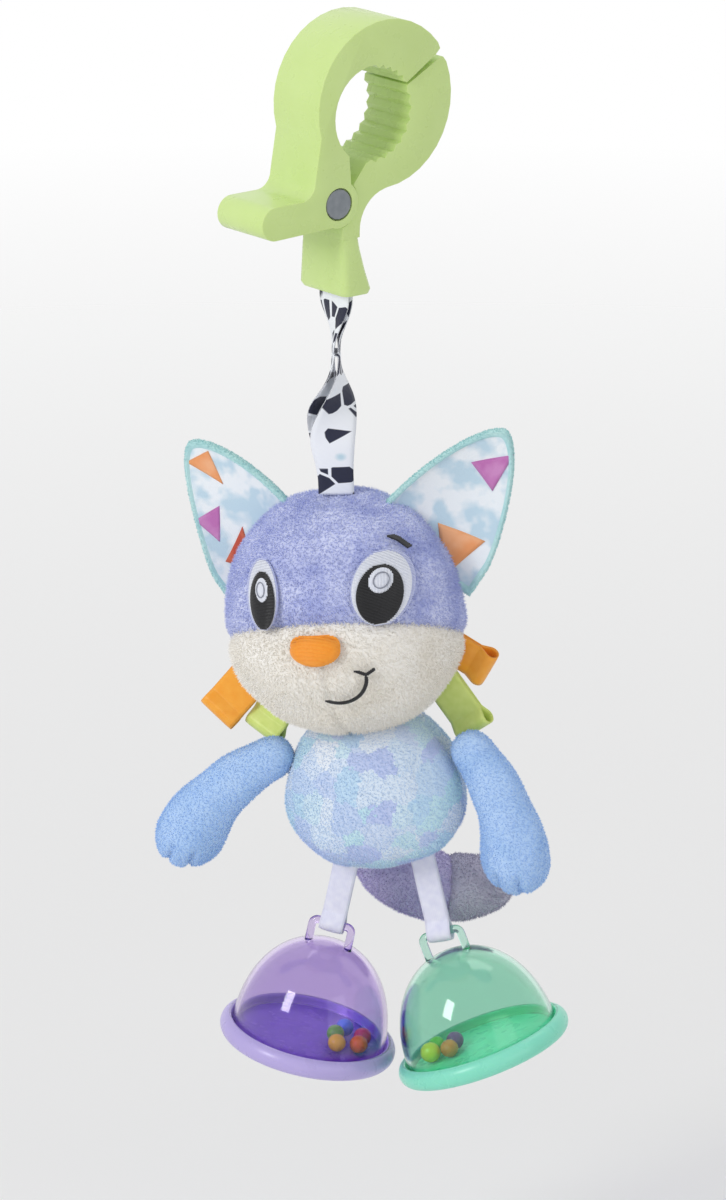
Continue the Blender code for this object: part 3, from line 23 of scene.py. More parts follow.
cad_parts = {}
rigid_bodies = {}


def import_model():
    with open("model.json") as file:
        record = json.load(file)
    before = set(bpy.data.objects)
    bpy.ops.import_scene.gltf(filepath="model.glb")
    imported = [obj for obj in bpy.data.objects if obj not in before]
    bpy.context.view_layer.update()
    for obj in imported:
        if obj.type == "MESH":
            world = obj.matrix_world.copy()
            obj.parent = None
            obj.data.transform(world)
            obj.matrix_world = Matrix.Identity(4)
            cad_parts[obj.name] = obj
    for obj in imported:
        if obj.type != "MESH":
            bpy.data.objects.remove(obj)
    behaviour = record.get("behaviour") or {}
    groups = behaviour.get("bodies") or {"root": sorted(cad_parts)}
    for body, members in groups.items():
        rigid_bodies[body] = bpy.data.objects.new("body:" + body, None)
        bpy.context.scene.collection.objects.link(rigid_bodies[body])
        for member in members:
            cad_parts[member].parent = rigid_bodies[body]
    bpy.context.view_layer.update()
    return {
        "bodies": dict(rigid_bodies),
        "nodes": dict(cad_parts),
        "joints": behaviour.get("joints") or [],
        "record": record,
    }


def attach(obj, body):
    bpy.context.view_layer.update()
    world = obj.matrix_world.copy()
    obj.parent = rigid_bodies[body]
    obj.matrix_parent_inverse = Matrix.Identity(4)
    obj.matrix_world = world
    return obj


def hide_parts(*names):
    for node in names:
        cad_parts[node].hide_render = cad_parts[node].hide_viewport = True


LOG = logging.getLogger("pram_toy")
MM = 0.001
WELD = 0.001 * MM
THREAD_SIDES = 5

Points = np.ndarray
Profile = list[tuple[float, float]]
Spot = tuple[float, float, float]
Oval = tuple[float, float, float, float]
Faces = list[tuple[int, ...]]
Piece = bpy.types.Object
Tree = bpy.types.NodeTree
Node = bpy.types.Node
Socket = bpy.types.NodeSocket


class Side(Enum):
    """The fox's own sides, as the sign of X."""

    RIGHT = -1
    LEFT = 1

    @property
    def word(self) -> str:
        """The side's name in the CAD nodes."""
        return self.name.lower()


# Colour and shader nodes.


def colour(code: str) -> tuple[float, float, float, float]:
    """Turns an sRGB hex code into a linear colour.

    Args:
        code: Six hex digits, with or without a leading hash.

    Returns:
        Red, green, blue and alpha for a shader socket.
    """
    digits = code.lstrip("#")
    channels = [int(digits[k : k + 2], 16) / 255 for k in (0, 2, 4)]
    linear = [c / 12.92 if c <= 0.04045 else ((c + 0.055) / 1.055) ** 2.4 for c in channels]
    return (linear[0], linear[1], linear[2], 1.0)


def feed(node: Node, inputs: dict) -> None:
    """Sets a node's sockets, each to a value or to the output socket that feeds it."""
    for socket, value in inputs.items():
        if isinstance(value, Socket):
            node.id_data.links.new(value, node.inputs[socket])
        else:
            node.inputs[socket].default_value = value


def add_node(tree: Tree, kind: str, inputs: dict | None = None, **settings: object) -> Node:
    """Adds one node with its settings, values and links.

    Args:
        tree: The tree it goes into.
        kind: Blender's name for the node's type.
        inputs: Socket name or index to a value, or to the output socket that feeds it.
        settings: Properties of the node itself.

    Returns:
        The new node.
    """
    node = tree.nodes.new(kind)
    for name, value in settings.items():
        setattr(node, name, value)
    feed(node, inputs or {})
    return node


def ramp(tree: Tree, source: Socket, stops: Sequence[tuple[float, str]]) -> Socket:
    """Adds a colour ramp.

    Args:
        tree: The tree it goes into.
        source: What drives it, from 0 to 1.
        stops: Place and hex code of each stop.

    Returns:
        The ramp's colour output.
    """
    node = add_node(tree, "ShaderNodeValToRGB", {"Fac": source})
    band = node.color_ramp
    while len(band.elements) < len(stops):
        band.elements.new(0.5)
    for element, (place, code) in zip(band.elements, stops):
        element.position = place
        element.color = colour(code)
    return node.outputs["Color"]


def blended(tree: Tree, share: object, low: object, high: object, kind: str = "MIX") -> Socket:
    """Mixes two colours.

    Args:
        tree: The tree it goes into.
        share: How much of the second colour, as a value or a socket.
        low: The first colour, as a hex code or a socket.
        high: The second colour, likewise.
        kind: The way they mix.

    Returns:
        The mixed colour's socket.
    """
    low, high = (colour(side) if isinstance(side, str) else side for side in (low, high))
    node = add_node(tree, "ShaderNodeMix", {0: share, 6: low, 7: high}, data_type="RGBA", blend_type=kind)
    return node.outputs[2]


def ranged(
    tree: Tree, value: Socket, start: float, end: float, low: float = 0.0, high: float = 1.0
) -> Socket:
    """Spreads what lies between a start and an end over the range from low to high."""
    return add_node(tree, "ShaderNodeMapRange", {0: value, 1: start, 2: end, 3: low, 4: high}).outputs[0]


@dataclass(frozen=True)
class Finish:
    """A finish: the real material and how its surface was made. Subclasses draw its nodes."""

    name: str

    def material(self) -> bpy.types.Material:
        """Returns the finish's material, made once."""
        made = bpy.data.materials.get(self.name)
        if made is None:
            made = bpy.data.materials.new(self.name)
            made.use_nodes = True
            tree = made.node_tree
            self.draw(tree, tree.nodes["Principled BSDF"])
        return made

    def draw(self, tree: Tree, shader: Node) -> None:
        """Draws the finish's nodes round its shader."""
        raise NotImplementedError

    def place(self, tree: Tree) -> Socket:
        """Returns the piece's own coordinates, in metres."""
        return add_node(tree, "ShaderNodeTexCoord").outputs["Object"]

    def noise(self, tree: Tree, grain_mm: float, detail: float = 2.0, output: str = "Fac") -> Socket:
        """Returns cloudy noise with grains of a real size."""
        inputs = {"Vector": self.place(tree), "Scale": 1 / (grain_mm * MM), "Detail": detail}
        return add_node(tree, "ShaderNodeTexNoise", inputs).outputs[output]

    def relief(self, shader: Node, height: Socket, depth_mm: float, strength: float = 1.0) -> None:
        """Roughens the surface by a height field of a real depth."""
        inputs = {"Strength": strength, "Distance": depth_mm * MM, "Height": height}
        feed(shader, {"Normal": add_node(shader.id_data, "ShaderNodeBump", inputs).outputs["Normal"]})


@dataclass(frozen=True)
class Plush(Finish):
    """Knitted polyester plush, cut to a pile. The tips catch light; the darker root colour is painted shade
    deep in the pile.
    """

    tip: str
    # The root colour is painted shade: it darkens the pile towards its roots.
    root: str
    # The mottling colour and its patch size: painted shade where the pile lies another way.
    cloud: str
    cloud_mm: float = 11.0
    sheen: float = 0.35

    def ground(self, tree: Tree) -> Socket:
        """Returns the colour of the tips, mottled with painted shade where the pile lies another way and
        catches less light.
        """
        share = ranged(tree, self.noise(tree, self.cloud_mm, 3.0), 0.38, 0.66)
        return blended(tree, share, self.tip, self.cloud)

    def draw(self, tree: Tree, shader: Node) -> None:
        """Paints shade on each tuft: the root colour, which is painted shade, fades into the tip colour
        towards its tip.
        """
        tip = add_node(tree, "ShaderNodeAttribute", attribute_name="tip").outputs["Fac"]
        tuft = add_node(tree, "ShaderNodeAttribute", attribute_name="tuft").outputs["Fac"]
        varied = blended(tree, 1.0, self.ground(tree), ranged(tree, tuft, 0.0, 1.0, 0.90, 1.08), "MULTIPLY")
        feed(shader, {
            # Painted shade: the root colour gives way to the tip colour along each tuft's "tip" height.
            "Base Color": blended(tree, tip, self.root, varied),
            "Roughness": 0.9,
            "Specular IOR Level": 0.25,
            "Sheen Weight": self.sheen,
            "Sheen Roughness": 0.45,
            "Sheen Tint": colour(self.tip),
        })
        self.relief(shader, self.noise(tree, 0.55), 0.35, 0.6)


@dataclass(frozen=True)
class PatchedPlush(Plush):
    """Plush printed with soft rounded patches, a common baby-cloth print. The pile blurs their edges."""

    patches: tuple[str, ...] = ()
    patch_mm: float = 8.0
    blur_mm: float = 1.8

    def ground(self, tree: Tree) -> Socket:
        """Returns the print's colour."""
        ragged = self.noise(tree, self.blur_mm, 1.0, "Color")
        centred = add_node(tree, "ShaderNodeVectorMath", {0: ragged, 1: (0.5,) * 3}, operation="SUBTRACT")
        inputs = {0: centred.outputs[0], 1: (self.blur_mm * 2 * MM,) * 3, 2: self.place(tree)}
        shifted = add_node(tree, "ShaderNodeVectorMath", inputs, operation="MULTIPLY_ADD").outputs[0]
        inputs = {"Vector": shifted, "Scale": 1 / (self.patch_mm * MM), "Randomness": 0.9}
        cells = add_node(tree, "ShaderNodeTexVoronoi", inputs).outputs["Color"]
        pick = add_node(tree, "ShaderNodeSeparateColor", {"Color": cells}).outputs["Red"]
        stops = [(0.08 + 0.84 * k / (len(self.patches) - 1), code) for k, code in enumerate(self.patches)]
        return ramp(tree, pick, stops)


@dataclass(frozen=True)
class PrintedCotton(Finish):
    """Woven cotton, printed in a soft wash. The weave shows as a fine grid."""

    cloth: str
    wash: str
    wash_mm: float = 7.0
    thread_mm: float = 0.45

    def draw(self, tree: Tree, shader: Node) -> None:
        """Washes the cloth's colour and raises its threads."""
        share = ranged(tree, self.noise(tree, self.wash_mm), 0.42, 0.60)
        feed(shader, {
            "Base Color": blended(tree, share, self.cloth, self.wash),
            "Roughness": 0.85,
            "Sheen Weight": 0.15,
        })
        inputs = {"Vector": self.place(tree), "Scale": 1 / (self.thread_mm * MM)}
        self.relief(shader, add_node(tree, "ShaderNodeTexChecker", inputs).outputs["Fac"], 0.06, 0.5)


@dataclass(frozen=True)
class Satin(Finish):
    """Woven satin ribbon. Its threads are drawn coarser than real ones, so that they show."""

    # The lighter face colour carries painted sheen, and the darker fold colour is painted shade.
    face: str
    fold: str
    rough: float = 0.38
    weave_scale: float = 0.530786

    def draw(self, tree: Tree, shader: Node) -> None:
        """Draws fine threads along the ribbon's own UV map, whose units are millimetres."""
        uv = add_node(tree, "ShaderNodeUVMap", uv_map="ribbon").outputs["UV"]
        inputs = {"Vector": uv, "Scale": self.weave_scale, "Distortion": 0.6, "Detail": 1.0}
        threads = add_node(tree, "ShaderNodeTexWave", inputs, bands_direction="X").outputs["Fac"]
        inputs = {"Vector": uv, "Scale": 0.35, "Detail": 1.0}
        painted_sheen_share = add_node(tree, "ShaderNodeTexNoise", inputs).outputs["Fac"]
        # Noise mixes the painted-shade fold colour into the sheened face colour in patches.
        feed(shader, {
            "Base Color": blended(tree, painted_sheen_share, self.fold, self.face),
            "Roughness": self.rough,
            "Anisotropic": 0.6,
            "Sheen Weight": 0.2,
        })
        self.relief(shader, threads, 0.04, 0.6)


@dataclass(frozen=True)
class PrintedRibbon(Finish):
    """Twill ribbon with a bold two-colour print of rounded stones, drawn on the ribbon's own UV map."""

    ground: str
    ink: str
    wash: str
    stone_mm: float = 5.6
    twill_scale: float = 0.318471

    def draw(self, tree: Tree, shader: Node) -> None:
        """Prints dark stones with pale joints between them."""
        uv = add_node(tree, "ShaderNodeUVMap", uv_map="ribbon").outputs["UV"]
        cells = {"Vector": uv, "Scale": 1 / self.stone_mm, "Randomness": 0.8}
        joint = add_node(tree, "ShaderNodeTexVoronoi", cells, feature="DISTANCE_TO_EDGE").outputs["Distance"]
        stone = add_node(tree, "ShaderNodeTexVoronoi", cells, feature="F1").outputs
        pick = add_node(tree, "ShaderNodeSeparateColor", {"Color": stone["Color"]}).outputs["Green"]
        sides = {0: ranged(tree, pick, 0.30, 0.32), 1: ranged(tree, joint, 0.055, 0.080)}
        inked = add_node(tree, "ShaderNodeMath", sides, operation="MULTIPLY").outputs[0]
        pale = blended(tree, ranged(tree, stone["Distance"], 0.12, 0.30), self.wash, self.ground)
        feed(shader, {
            "Base Color": blended(tree, inked, pale, self.ink), "Roughness": 0.72, "Sheen Weight": 0.15,
        })
        inputs = {"Vector": uv, "Scale": self.twill_scale}
        twill = add_node(tree, "ShaderNodeTexWave", inputs, bands_direction="DIAGONAL").outputs["Fac"]
        self.relief(shader, twill, 0.06, 0.5)


@dataclass(frozen=True)
class Embroidery(Finish):
    """Rayon embroidery thread, laid in satin stitch. Each thread shines along its length."""

    thread: str
    shade: str
    rough: float = 0.42

    def draw(self, tree: Tree, shader: Node) -> None:
        """Varies the thread's colour a little from stitch to stitch."""
        feed(shader, {
            "Base Color": blended(tree, self.noise(tree, 0.9, 1.0), self.shade, self.thread),
            "Roughness": self.rough,
            "Sheen Weight": 0.1,
        })
        self.relief(shader, self.noise(tree, 0.25, 1.0), 0.03, 0.5)


@dataclass(frozen=True)
class MouldedPlastic(Finish):
    """Injection-moulded polypropylene or ABS: an even gloss with the mould's faint ripple."""

    skin: str
    deep: str
    rough: float = 0.28
    glow: float = 0.12

    def draw(self, tree: Tree, shader: Node) -> None:
        """Lets a little light into the plastic and dulls it in patches, as handling does."""
        worn = ranged(tree, self.noise(tree, 5.0, 4.0), 0.0, 1.0, self.rough - 0.05, self.rough + 0.10)
        feed(shader, {
            "Base Color": blended(tree, self.noise(tree, 14.0), self.deep, self.skin),
            "Roughness": worn,
            "IOR": 1.49,
            "Subsurface Weight": self.glow,
            "Subsurface Radius": (1.0, 1.0, 0.6),
            "Subsurface Scale": 1.5 * MM,
        })
        self.relief(shader, self.noise(tree, 1.2), 0.02, 0.2)


@dataclass(frozen=True)
class ClearPlastic(Finish):
    """Tinted clear polystyrene, polished in the mould. What lies behind shows through its colour."""

    tint: str
    rough: float = 0.03

    def draw(self, tree: Tree, shader: Node) -> None:
        """Draws clear plastic with a faint ripple, which lets lamps through in its own colour."""
        tint = colour(self.tint)
        feed(shader, {"Base Color": tint, "Roughness": self.rough, "IOR": 1.45, "Transmission Weight": 1.0})
        self.relief(shader, self.noise(tree, 6.0, 1.0), 0.04, 0.12)
        clear = add_node(tree, "ShaderNodeBsdfTransparent", {"Color": tint}).outputs[0]
        lamp = add_node(tree, "ShaderNodeLightPath").outputs["Is Shadow Ray"]
        both = add_node(tree, "ShaderNodeMixShader", {0: lamp, 1: shader.outputs[0], 2: clear}).outputs[0]
        feed(tree.nodes["Material Output"], {"Surface": both})


@dataclass(frozen=True)
class Steel(Finish):
    """Plated steel, tumbled dull. The tumbling leaves fine scratches every way."""

    skin: str
    rough: float = 0.38
    scratch: str = "8E9296"

    def draw(self, tree: Tree, shader: Node) -> None:
        """Draws a metal with a scratched, uneven gloss."""
        worn = ranged(tree, self.noise(tree, 0.6, 3.0), 0.0, 1.0, self.rough - 0.1, self.rough + 0.12)
        feed(shader, {
            "Base Color": blended(tree, self.noise(tree, 2.0, 4.0), self.skin, self.scratch),
            "Metallic": 1.0,
            "Roughness": worn,
        })
        self.relief(shader, self.noise(tree, 0.5, 3.0), 0.01, 0.5)


@dataclass(frozen=True)
class StudioPaper(Finish):
    """Studio paper that keeps the toy's shadow. It fades into the pale room, so that no edge shows."""

    tone: str
    tooth: str = "F4F4F3"
    fade: tuple[float, float] = (0.45, 1.7)

    def draw(self, tree: Tree, shader: Node) -> None:
        """Draws matt paper with a faint tooth, which thins out with the distance from the toy."""
        away = add_node(tree, "ShaderNodeVectorMath", {0: self.place(tree)}, operation="LENGTH")
        feed(shader, {
            "Base Color": blended(tree, self.noise(tree, 300.0), self.tone, self.tooth),
            "Roughness": 0.95,
            "Specular IOR Level": 0.1,
            "Alpha": ranged(tree, away.outputs["Value"], *self.fade, 1.0, 0.0),
        })


# The clip is one plastic, moulded in polypropylene.
LIME = MouldedPlastic("lime_moulded_polypropylene", "D3EA9C", "C9E18C", 0.26, 0.12)
PIN_STEEL = Steel("dull_plated_steel_pin", "6F757B")
SPRING_STEEL = Steel("bright_spring_steel", "B9BCC0", 0.28)
# The ribbon's print is navy on white with a wash of aqua.
STRAP_PRINT = PrintedRibbon("printed_twill_ribbon", "F1F4FA", "191D36", "BFD9E6")
# Plush colours: tip, then root, which is painted shade, then the mottle, which is painted shade too.
CROWN = Plush("periwinkle_cut_plush", "E0E5FD", "BAC2EA", "B0B9E7", 10.0)
MUZZLE = Plush("cream_cut_plush", "FDFBF7", "F0ECE3", "F6F2EA", 13.0)
EAR_PLUSH = Plush("mint_short_plush", "C8ECEA", "A3D0D2", "B4E0E2", 9.0)
EAR_CLOTH = PrintedCotton("washed_aqua_cotton", "F0F5F9", "C4DCEA")
EAR_MAGENTA = PrintedCotton("magenta_cotton_print", "C172B4", "CF8CC4")
EAR_ORANGE = PrintedCotton("apricot_cotton_print", "F0A068", "F4B283")
EAR_RED = PrintedCotton("brick_cotton_print", "C7543F", "D87456")
PATCHED = PatchedPlush(
    "patch_printed_plush", "D8E8FA", "B9D0EE", "B4CBE8", 8.0, 0.35,
    ("CCD4F6", "D4E9FB", "F8FBFE", "CBE5F9", "D0F3F4", "E8F3FD", "C9D3F5"),
)
ARM_PLUSH = Plush("sky_short_plush", "C0DBFC", "9CC0EE", "AFCFF6", 10.0)
TAIL_PLUSH = Plush("lilac_short_plush", "D0C9E8", "B0A7D0", "C0B9DE", 9.0)
# The tip's greyish tone is partly painted shade: the real tip is white to cream, kept darker because it hangs
# in shade.
TIP_PLUSH = Plush("pale_lilac_short_plush", "D0CDDC", "A6A2B8", "BBB7CB", 9.0)
WHITE_THREAD = Embroidery("white_rayon_satin_stitch", "F3F5FB", "DDE2F0")
LILAC_THREAD = Embroidery("pale_lilac_rayon_satin_stitch", "CCD2F0", "B9C0E6")
BLACK_THREAD = Embroidery("black_rayon_satin_stitch", "15151B", "08080B", 0.35)
GREY_THREAD = Embroidery("grey_rayon_satin_stitch", "9296A4", "7F8392")
ORANGE_THREAD = Embroidery("orange_rayon_satin_stitch", "FDAC38", "F5971E")
# Satin colours: the face with painted sheen, then the fold as painted shade.
ORANGE_SATIN = Satin("orange_woven_satin", "FFB63E", "F89C18")
LIME_SATIN = Satin("lime_woven_satin", "E4F292", "CCE06C")
LEG_SATIN = Satin("white_lilac_woven_ribbon", "F0F0FA", "D5D5EC", 0.6)
VIOLET_CLEAR = ClearPlastic("violet_clear_polystyrene", "DACBEE")
LILAC_PLASTIC = MouldedPlastic("lilac_moulded_abs", "BDB0E4", "B2A5DC", 0.26)
VIOLET_PLASTIC = MouldedPlastic("violet_moulded_abs", "7A50C8", "6E44BC", 0.24)
GREEN_CLEAR = ClearPlastic("green_clear_polystyrene", "C4EADB")
MINT_PLASTIC = MouldedPlastic("mint_moulded_abs", "8FE6CC", "7EDCC0", 0.26)
BRIGHT_MINT_PLASTIC = MouldedPlastic("bright_mint_moulded_abs", "7CEBC8", "6CE0BC", 0.26)
BEAD_FINISHES = {
    "blue": MouldedPlastic("blue_moulded_bead", "2F7FE0", "2470D2", 0.16),
    "green": MouldedPlastic("green_moulded_bead", "6CBF3C", "5FB232", 0.16),
    "yellow": MouldedPlastic("yellow_moulded_bead", "F2D52C", "E8C81E", 0.16),
    "orange": MouldedPlastic("orange_moulded_bead", "F58232", "EA7426", 0.16),
    "red": MouldedPlastic("magenta_moulded_bead", "D2306E", "C42462", 0.16),
    "plum": MouldedPlastic("plum_moulded_bead", "8A4A8C", "7C3E7E", 0.16),
}
PAPER = StudioPaper("seamless_studio_paper", "F8F8F7")


# Mesh making.


def placed(at: Sequence[float], turn: Sequence[float] = (0.0, 0.0, 0.0)) -> Matrix:
    """The matrix of a frame at a place, turned by Euler angles in radians."""
    return Matrix.LocRotScale(Vector(at), Euler(turn), None)


def moved(points: Points, frame: Matrix) -> Points:
    """Points of a frame, in world coordinates."""
    turn = np.array(frame.to_3x3(), float)
    return points @ turn.T + np.array(frame.translation, float)


def linked(name: str, data: bpy.types.ID) -> Piece:
    """Makes an object of a mesh, a lamp or a camera, and adds it to the scene."""
    made = bpy.data.objects.new(name, data)
    bpy.context.scene.collection.objects.link(made)
    return made


@contextmanager
def reshaped(mesh: bpy.types.Mesh) -> Iterator[bmesh.types.BMesh]:
    """Opens a mesh for editing and writes it back."""
    shape = bmesh.new()
    shape.from_mesh(mesh)
    yield shape
    shape.to_mesh(mesh)
    shape.free()


def evaluated(piece: Piece, **keep: bool) -> bpy.types.Mesh:
    """Returns a piece's mesh with its modifiers carried out, as a new plain mesh."""
    graph = bpy.context.evaluated_depsgraph_get()
    return bpy.data.meshes.new_from_object(piece.evaluated_get(graph), depsgraph=graph, **keep)


def solid_from(name: str, points: Points, faces: Faces, finish: Finish) -> Piece:
    """Makes a smooth mesh object at the origin, with its points welded and its faces outwards.

    Args:
        name: The object's name.
        points: World coordinates.
        faces: Corner numbers of each face.
        finish: Its finish.

    Returns:
        The new object.
    """
    mesh = bpy.data.meshes.new(name)
    mesh.from_pydata([tuple(p) for p in points], [], faces)
    with reshaped(mesh) as shape:
        bmesh.ops.remove_doubles(shape, verts=shape.verts, dist=WELD)
        bmesh.ops.recalc_face_normals(shape, faces=shape.faces)
        if shape.calc_volume(signed=True) < 0:
            bmesh.ops.reverse_faces(shape, faces=shape.faces)
    mesh.materials.append(finish.material())
    mesh.shade_smooth()
    return linked(name, mesh)


def ring_faces(rows: int, columns: int) -> Faces:
    """Faces between rows of a grid of points, joined round."""
    faces = []
    for first in range(0, (rows - 1) * columns, columns):
        for k in range(columns):
            after = (k + 1) % columns
            faces.append((first + k, first + after, first + columns + after, first + columns + k))
    return faces


def skin_of(name: str, rings: Points, finish: Finish, frame: Matrix, capped: bool = True) -> Piece:
    """Makes a closed skin over rings of points.

    Args:
        name: The object's name.
        rings: Rows by columns by three, in the frame.
        finish: Its finish.
        frame: Where the rings are drawn.
        capped: Whether the two ends are closed.

    Returns:
        The new object.
    """
    rows, columns, _ = rings.shape
    faces = ring_faces(rows, columns)
    if capped:
        faces.append(tuple(range(columns))[::-1])
        faces.append(tuple((rows - 1) * columns + k for k in range(columns)))
    return solid_from(name, moved(rings.reshape(-1, 3), frame), faces, finish)


def turned_skin(name: str, profile: Profile, finish: Finish, frame: Matrix, steps: int) -> Piece:
    """Turns a closed outline of (radius, height) points round a frame's Z axis."""
    angles = math.tau * np.arange(steps) / steps
    outline = np.array(profile, float)
    points = np.stack([
        np.outer(np.cos(angles), outline[:, 0]),
        np.outer(np.sin(angles), outline[:, 0]),
        np.tile(outline[:, 1], (steps, 1)),
    ], axis=-1)
    count = len(profile)
    faces = []
    for r in range(steps):
        after = (r + 1) % steps
        for k in range(count):
            n = (k + 1) % count
            if profile[k][0] > 1e-9 or profile[n][0] > 1e-9:
                faces.append((r * count + k, r * count + n, after * count + n, after * count + k))
    return solid_from(name, moved(points.reshape(-1, 3), frame), faces, finish)


def arc_points(centre: tuple[float, float], radius: float, start: float, end: float, count: int) -> Profile:
    """Points of an arc, both ends included."""
    angles = [start + (end - start) * k / count for k in range(count + 1)]
    return [(centre[0] + radius * math.cos(angle), centre[1] + radius * math.sin(angle)) for angle in angles]


def run_at(line: Profile, k: int) -> Vector:
    """The direction of a line at its point k."""
    before, after = line[max(k - 1, 0)], line[min(k + 1, len(line) - 1)]
    return Vector((after[0] - before[0], after[1] - before[1])).normalized()


def smooth_share(share: float) -> float:
    """An even start and an even end between 0 and 1."""
    share = min(max(share, 0.0), 1.0)
    return share * share * (3 - 2 * share)


def refined(line: Profile, step: float) -> Profile:
    """A line with a point at least every step along it."""
    points = [line[0]]
    for start, end in zip(line, line[1:]):
        count = max(1, math.ceil(math.dist(start, end) / step))
        points += [tuple(a + (b - a) * k / count for a, b in zip(start, end)) for k in range(1, count + 1)]
    return points


def with_material(piece: Piece, finish: Finish) -> None:
    """Gives a carried-over CAD node a better material."""
    for place in range(len(piece.data.materials)):
        piece.data.materials[place] = finish.material()


def dressed(piece: Piece, body: str, slot: str, *nodes: str) -> Piece:
    """Rides a finished piece on its body and hides the CAD nodes that it stands for."""
    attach(piece, body)
    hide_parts(*nodes)
    LOG.info("%s: %s, %d faces", body, piece.name, len(piece.data.polygons))
    return piece


def joined(name: str, parts: list[Piece]) -> Piece:
    """Joins meshes that are one piece into one object."""
    with bpy.context.temp_override(
        active_object=parts[0], selected_objects=parts, selected_editable_objects=parts
    ):
        bpy.ops.object.join()
    parts[0].name = name
    return parts[0]


# Geometry Nodes.


def new_tree(name: str, inputs: Sequence[tuple[str, str]]) -> Tree:
    """Starts a geometry tree with a geometry input and output and named inputs."""
    tree = bpy.data.node_groups.new(name, "GeometryNodeTree")
    tree.interface.new_socket("Geometry", in_out="OUTPUT", socket_type="NodeSocketGeometry")
    tree.interface.new_socket("Geometry", in_out="INPUT", socket_type="NodeSocketGeometry")
    for label, kind in inputs:
        tree.interface.new_socket(label, in_out="INPUT", socket_type=kind)
    return tree


@cache
def pile_tree() -> Tree:
    """The tree that grows a pile: short pointed tufts, scattered over a skin by its "pile" attribute.

    Returns:
        The geometry tree, made once.
    """
    tree = new_tree("cut_pile", (
        ("Density", "NodeSocketFloat"), ("Tuft Length", "NodeSocketFloat"), ("Tuft Width", "NodeSocketFloat"),
        ("Lean", "NodeSocketFloat"), ("Comb", "NodeSocketVector"), ("Seed", "NodeSocketInt"),
        ("Finish", "NodeSocketMaterial"),
    ))
    add = partial(add_node, tree)
    given = add("NodeGroupInput").outputs
    skin, seed, long = given["Geometry"], given["Seed"], given["Tuft Length"]
    pile = add("GeometryNodeInputNamedAttribute", {"Name": "pile"}, data_type="FLOAT").outputs["Attribute"]
    density = add("ShaderNodeMath", {0: pile, 1: given["Density"]}, operation="MULTIPLY").outputs[0]
    inputs = {"Mesh": skin, "Density": density, "Seed": seed}
    spots = add("GeometryNodeDistributePointsOnFaces", inputs).outputs
    # One tuft is a three-sided cone, which knows its height as "tip".
    width = add("ShaderNodeMath", {0: given["Tuft Width"], 1: 0.5}, operation="MULTIPLY").outputs[0]
    inputs = {"Vertices": 3, "Side Segments": 1, "Radius Bottom": width, "Depth": long}
    tuft = add("GeometryNodeMeshCone", inputs, fill_type="NGON").outputs["Mesh"]
    height = add("ShaderNodeSeparateXYZ", {0: add("GeometryNodeInputPosition").outputs[0]}).outputs["Z"]
    share = add("ShaderNodeMath", {0: height, 1: long}, operation="DIVIDE").outputs[0]
    inputs = {"Geometry": tuft, "Name": "tip", "Value": share}
    tuft = add("GeometryNodeStoreNamedAttribute", inputs, data_type="FLOAT", domain="POINT").outputs[0]
    # It points along the normal, combed, and leans its own way.
    inputs = {"Min": (-1, -1, -1), "Max": (1, 1, 1), "Seed": seed}
    sway = add("FunctionNodeRandomValue", inputs, data_type="FLOAT_VECTOR").outputs[0]
    leaning = add("ShaderNodeVectorMath", {0: sway, "Scale": given["Lean"]}, operation="SCALE").outputs[0]
    combed = add("ShaderNodeVectorMath", {0: spots["Normal"], 1: given["Comb"]}, operation="ADD").outputs[0]
    aim = add("ShaderNodeVectorMath", {0: combed, 1: leaning}, operation="ADD").outputs[0]
    turn = add("FunctionNodeAlignRotationToVector", {"Vector": aim}, axis="Z").outputs["Rotation"]
    size, shade = (
        add("FunctionNodeRandomValue", {2: low, 3: high, "Seed": seed}, data_type="FLOAT").outputs[1]
        for low, high in ((0.7, 1.15), (0.0, 1.0))
    )
    inputs = {"Points": spots["Points"], "Instance": tuft, "Rotation": turn, "Scale": size}
    planted = add("GeometryNodeInstanceOnPoints", inputs).outputs[0]
    inputs = {"Geometry": planted, "Name": "tuft", "Value": shade}
    planted = add("GeometryNodeStoreNamedAttribute", inputs, data_type="FLOAT", domain="INSTANCE").outputs[0]
    real = add("GeometryNodeRealizeInstances", {"Geometry": planted}).outputs[0]
    joint = add("GeometryNodeJoinGeometry")
    tree.links.new(real, joint.inputs[0])
    tree.links.new(skin, joint.inputs[0])
    inputs = {"Geometry": joint.outputs[0], "Material": given["Finish"]}
    add("NodeGroupOutput", {"Geometry": add("GeometryNodeSetMaterial", inputs).outputs[0]})
    return tree


@cache
def thread_tree() -> Tree:
    """The tree that lays a round thread along each loose edge line of a mesh.

    Returns:
        The geometry tree, made once.
    """
    tree = new_tree("laid_thread", (
        ("Thread Radius", "NodeSocketFloat"), ("Sides", "NodeSocketInt"), ("Finish", "NodeSocketMaterial"),
    ))
    add = partial(add_node, tree)
    given = add("NodeGroupInput").outputs
    line = add("GeometryNodeMeshToCurve", {"Mesh": given["Geometry"]}).outputs[0]
    inputs = {"Resolution": given["Sides"], "Radius": given["Thread Radius"]}
    section = add("GeometryNodeCurvePrimitiveCircle", inputs, mode="RADIUS").outputs[0]
    inputs = {"Curve": line, "Profile Curve": section, "Fill Caps": True}
    laid = add("GeometryNodeCurveToMesh", inputs).outputs[0]
    real = add("GeometryNodeRealizeInstances", {"Geometry": laid}).outputs[0]
    inputs = {"Geometry": real, "Material": given["Finish"]}
    dressed_thread = add("GeometryNodeSetMaterial", inputs).outputs[0]
    smooth = add("GeometryNodeSetShadeSmooth", {"Geometry": dressed_thread}).outputs[0]
    add("NodeGroupOutput", {"Geometry": smooth})
    return tree


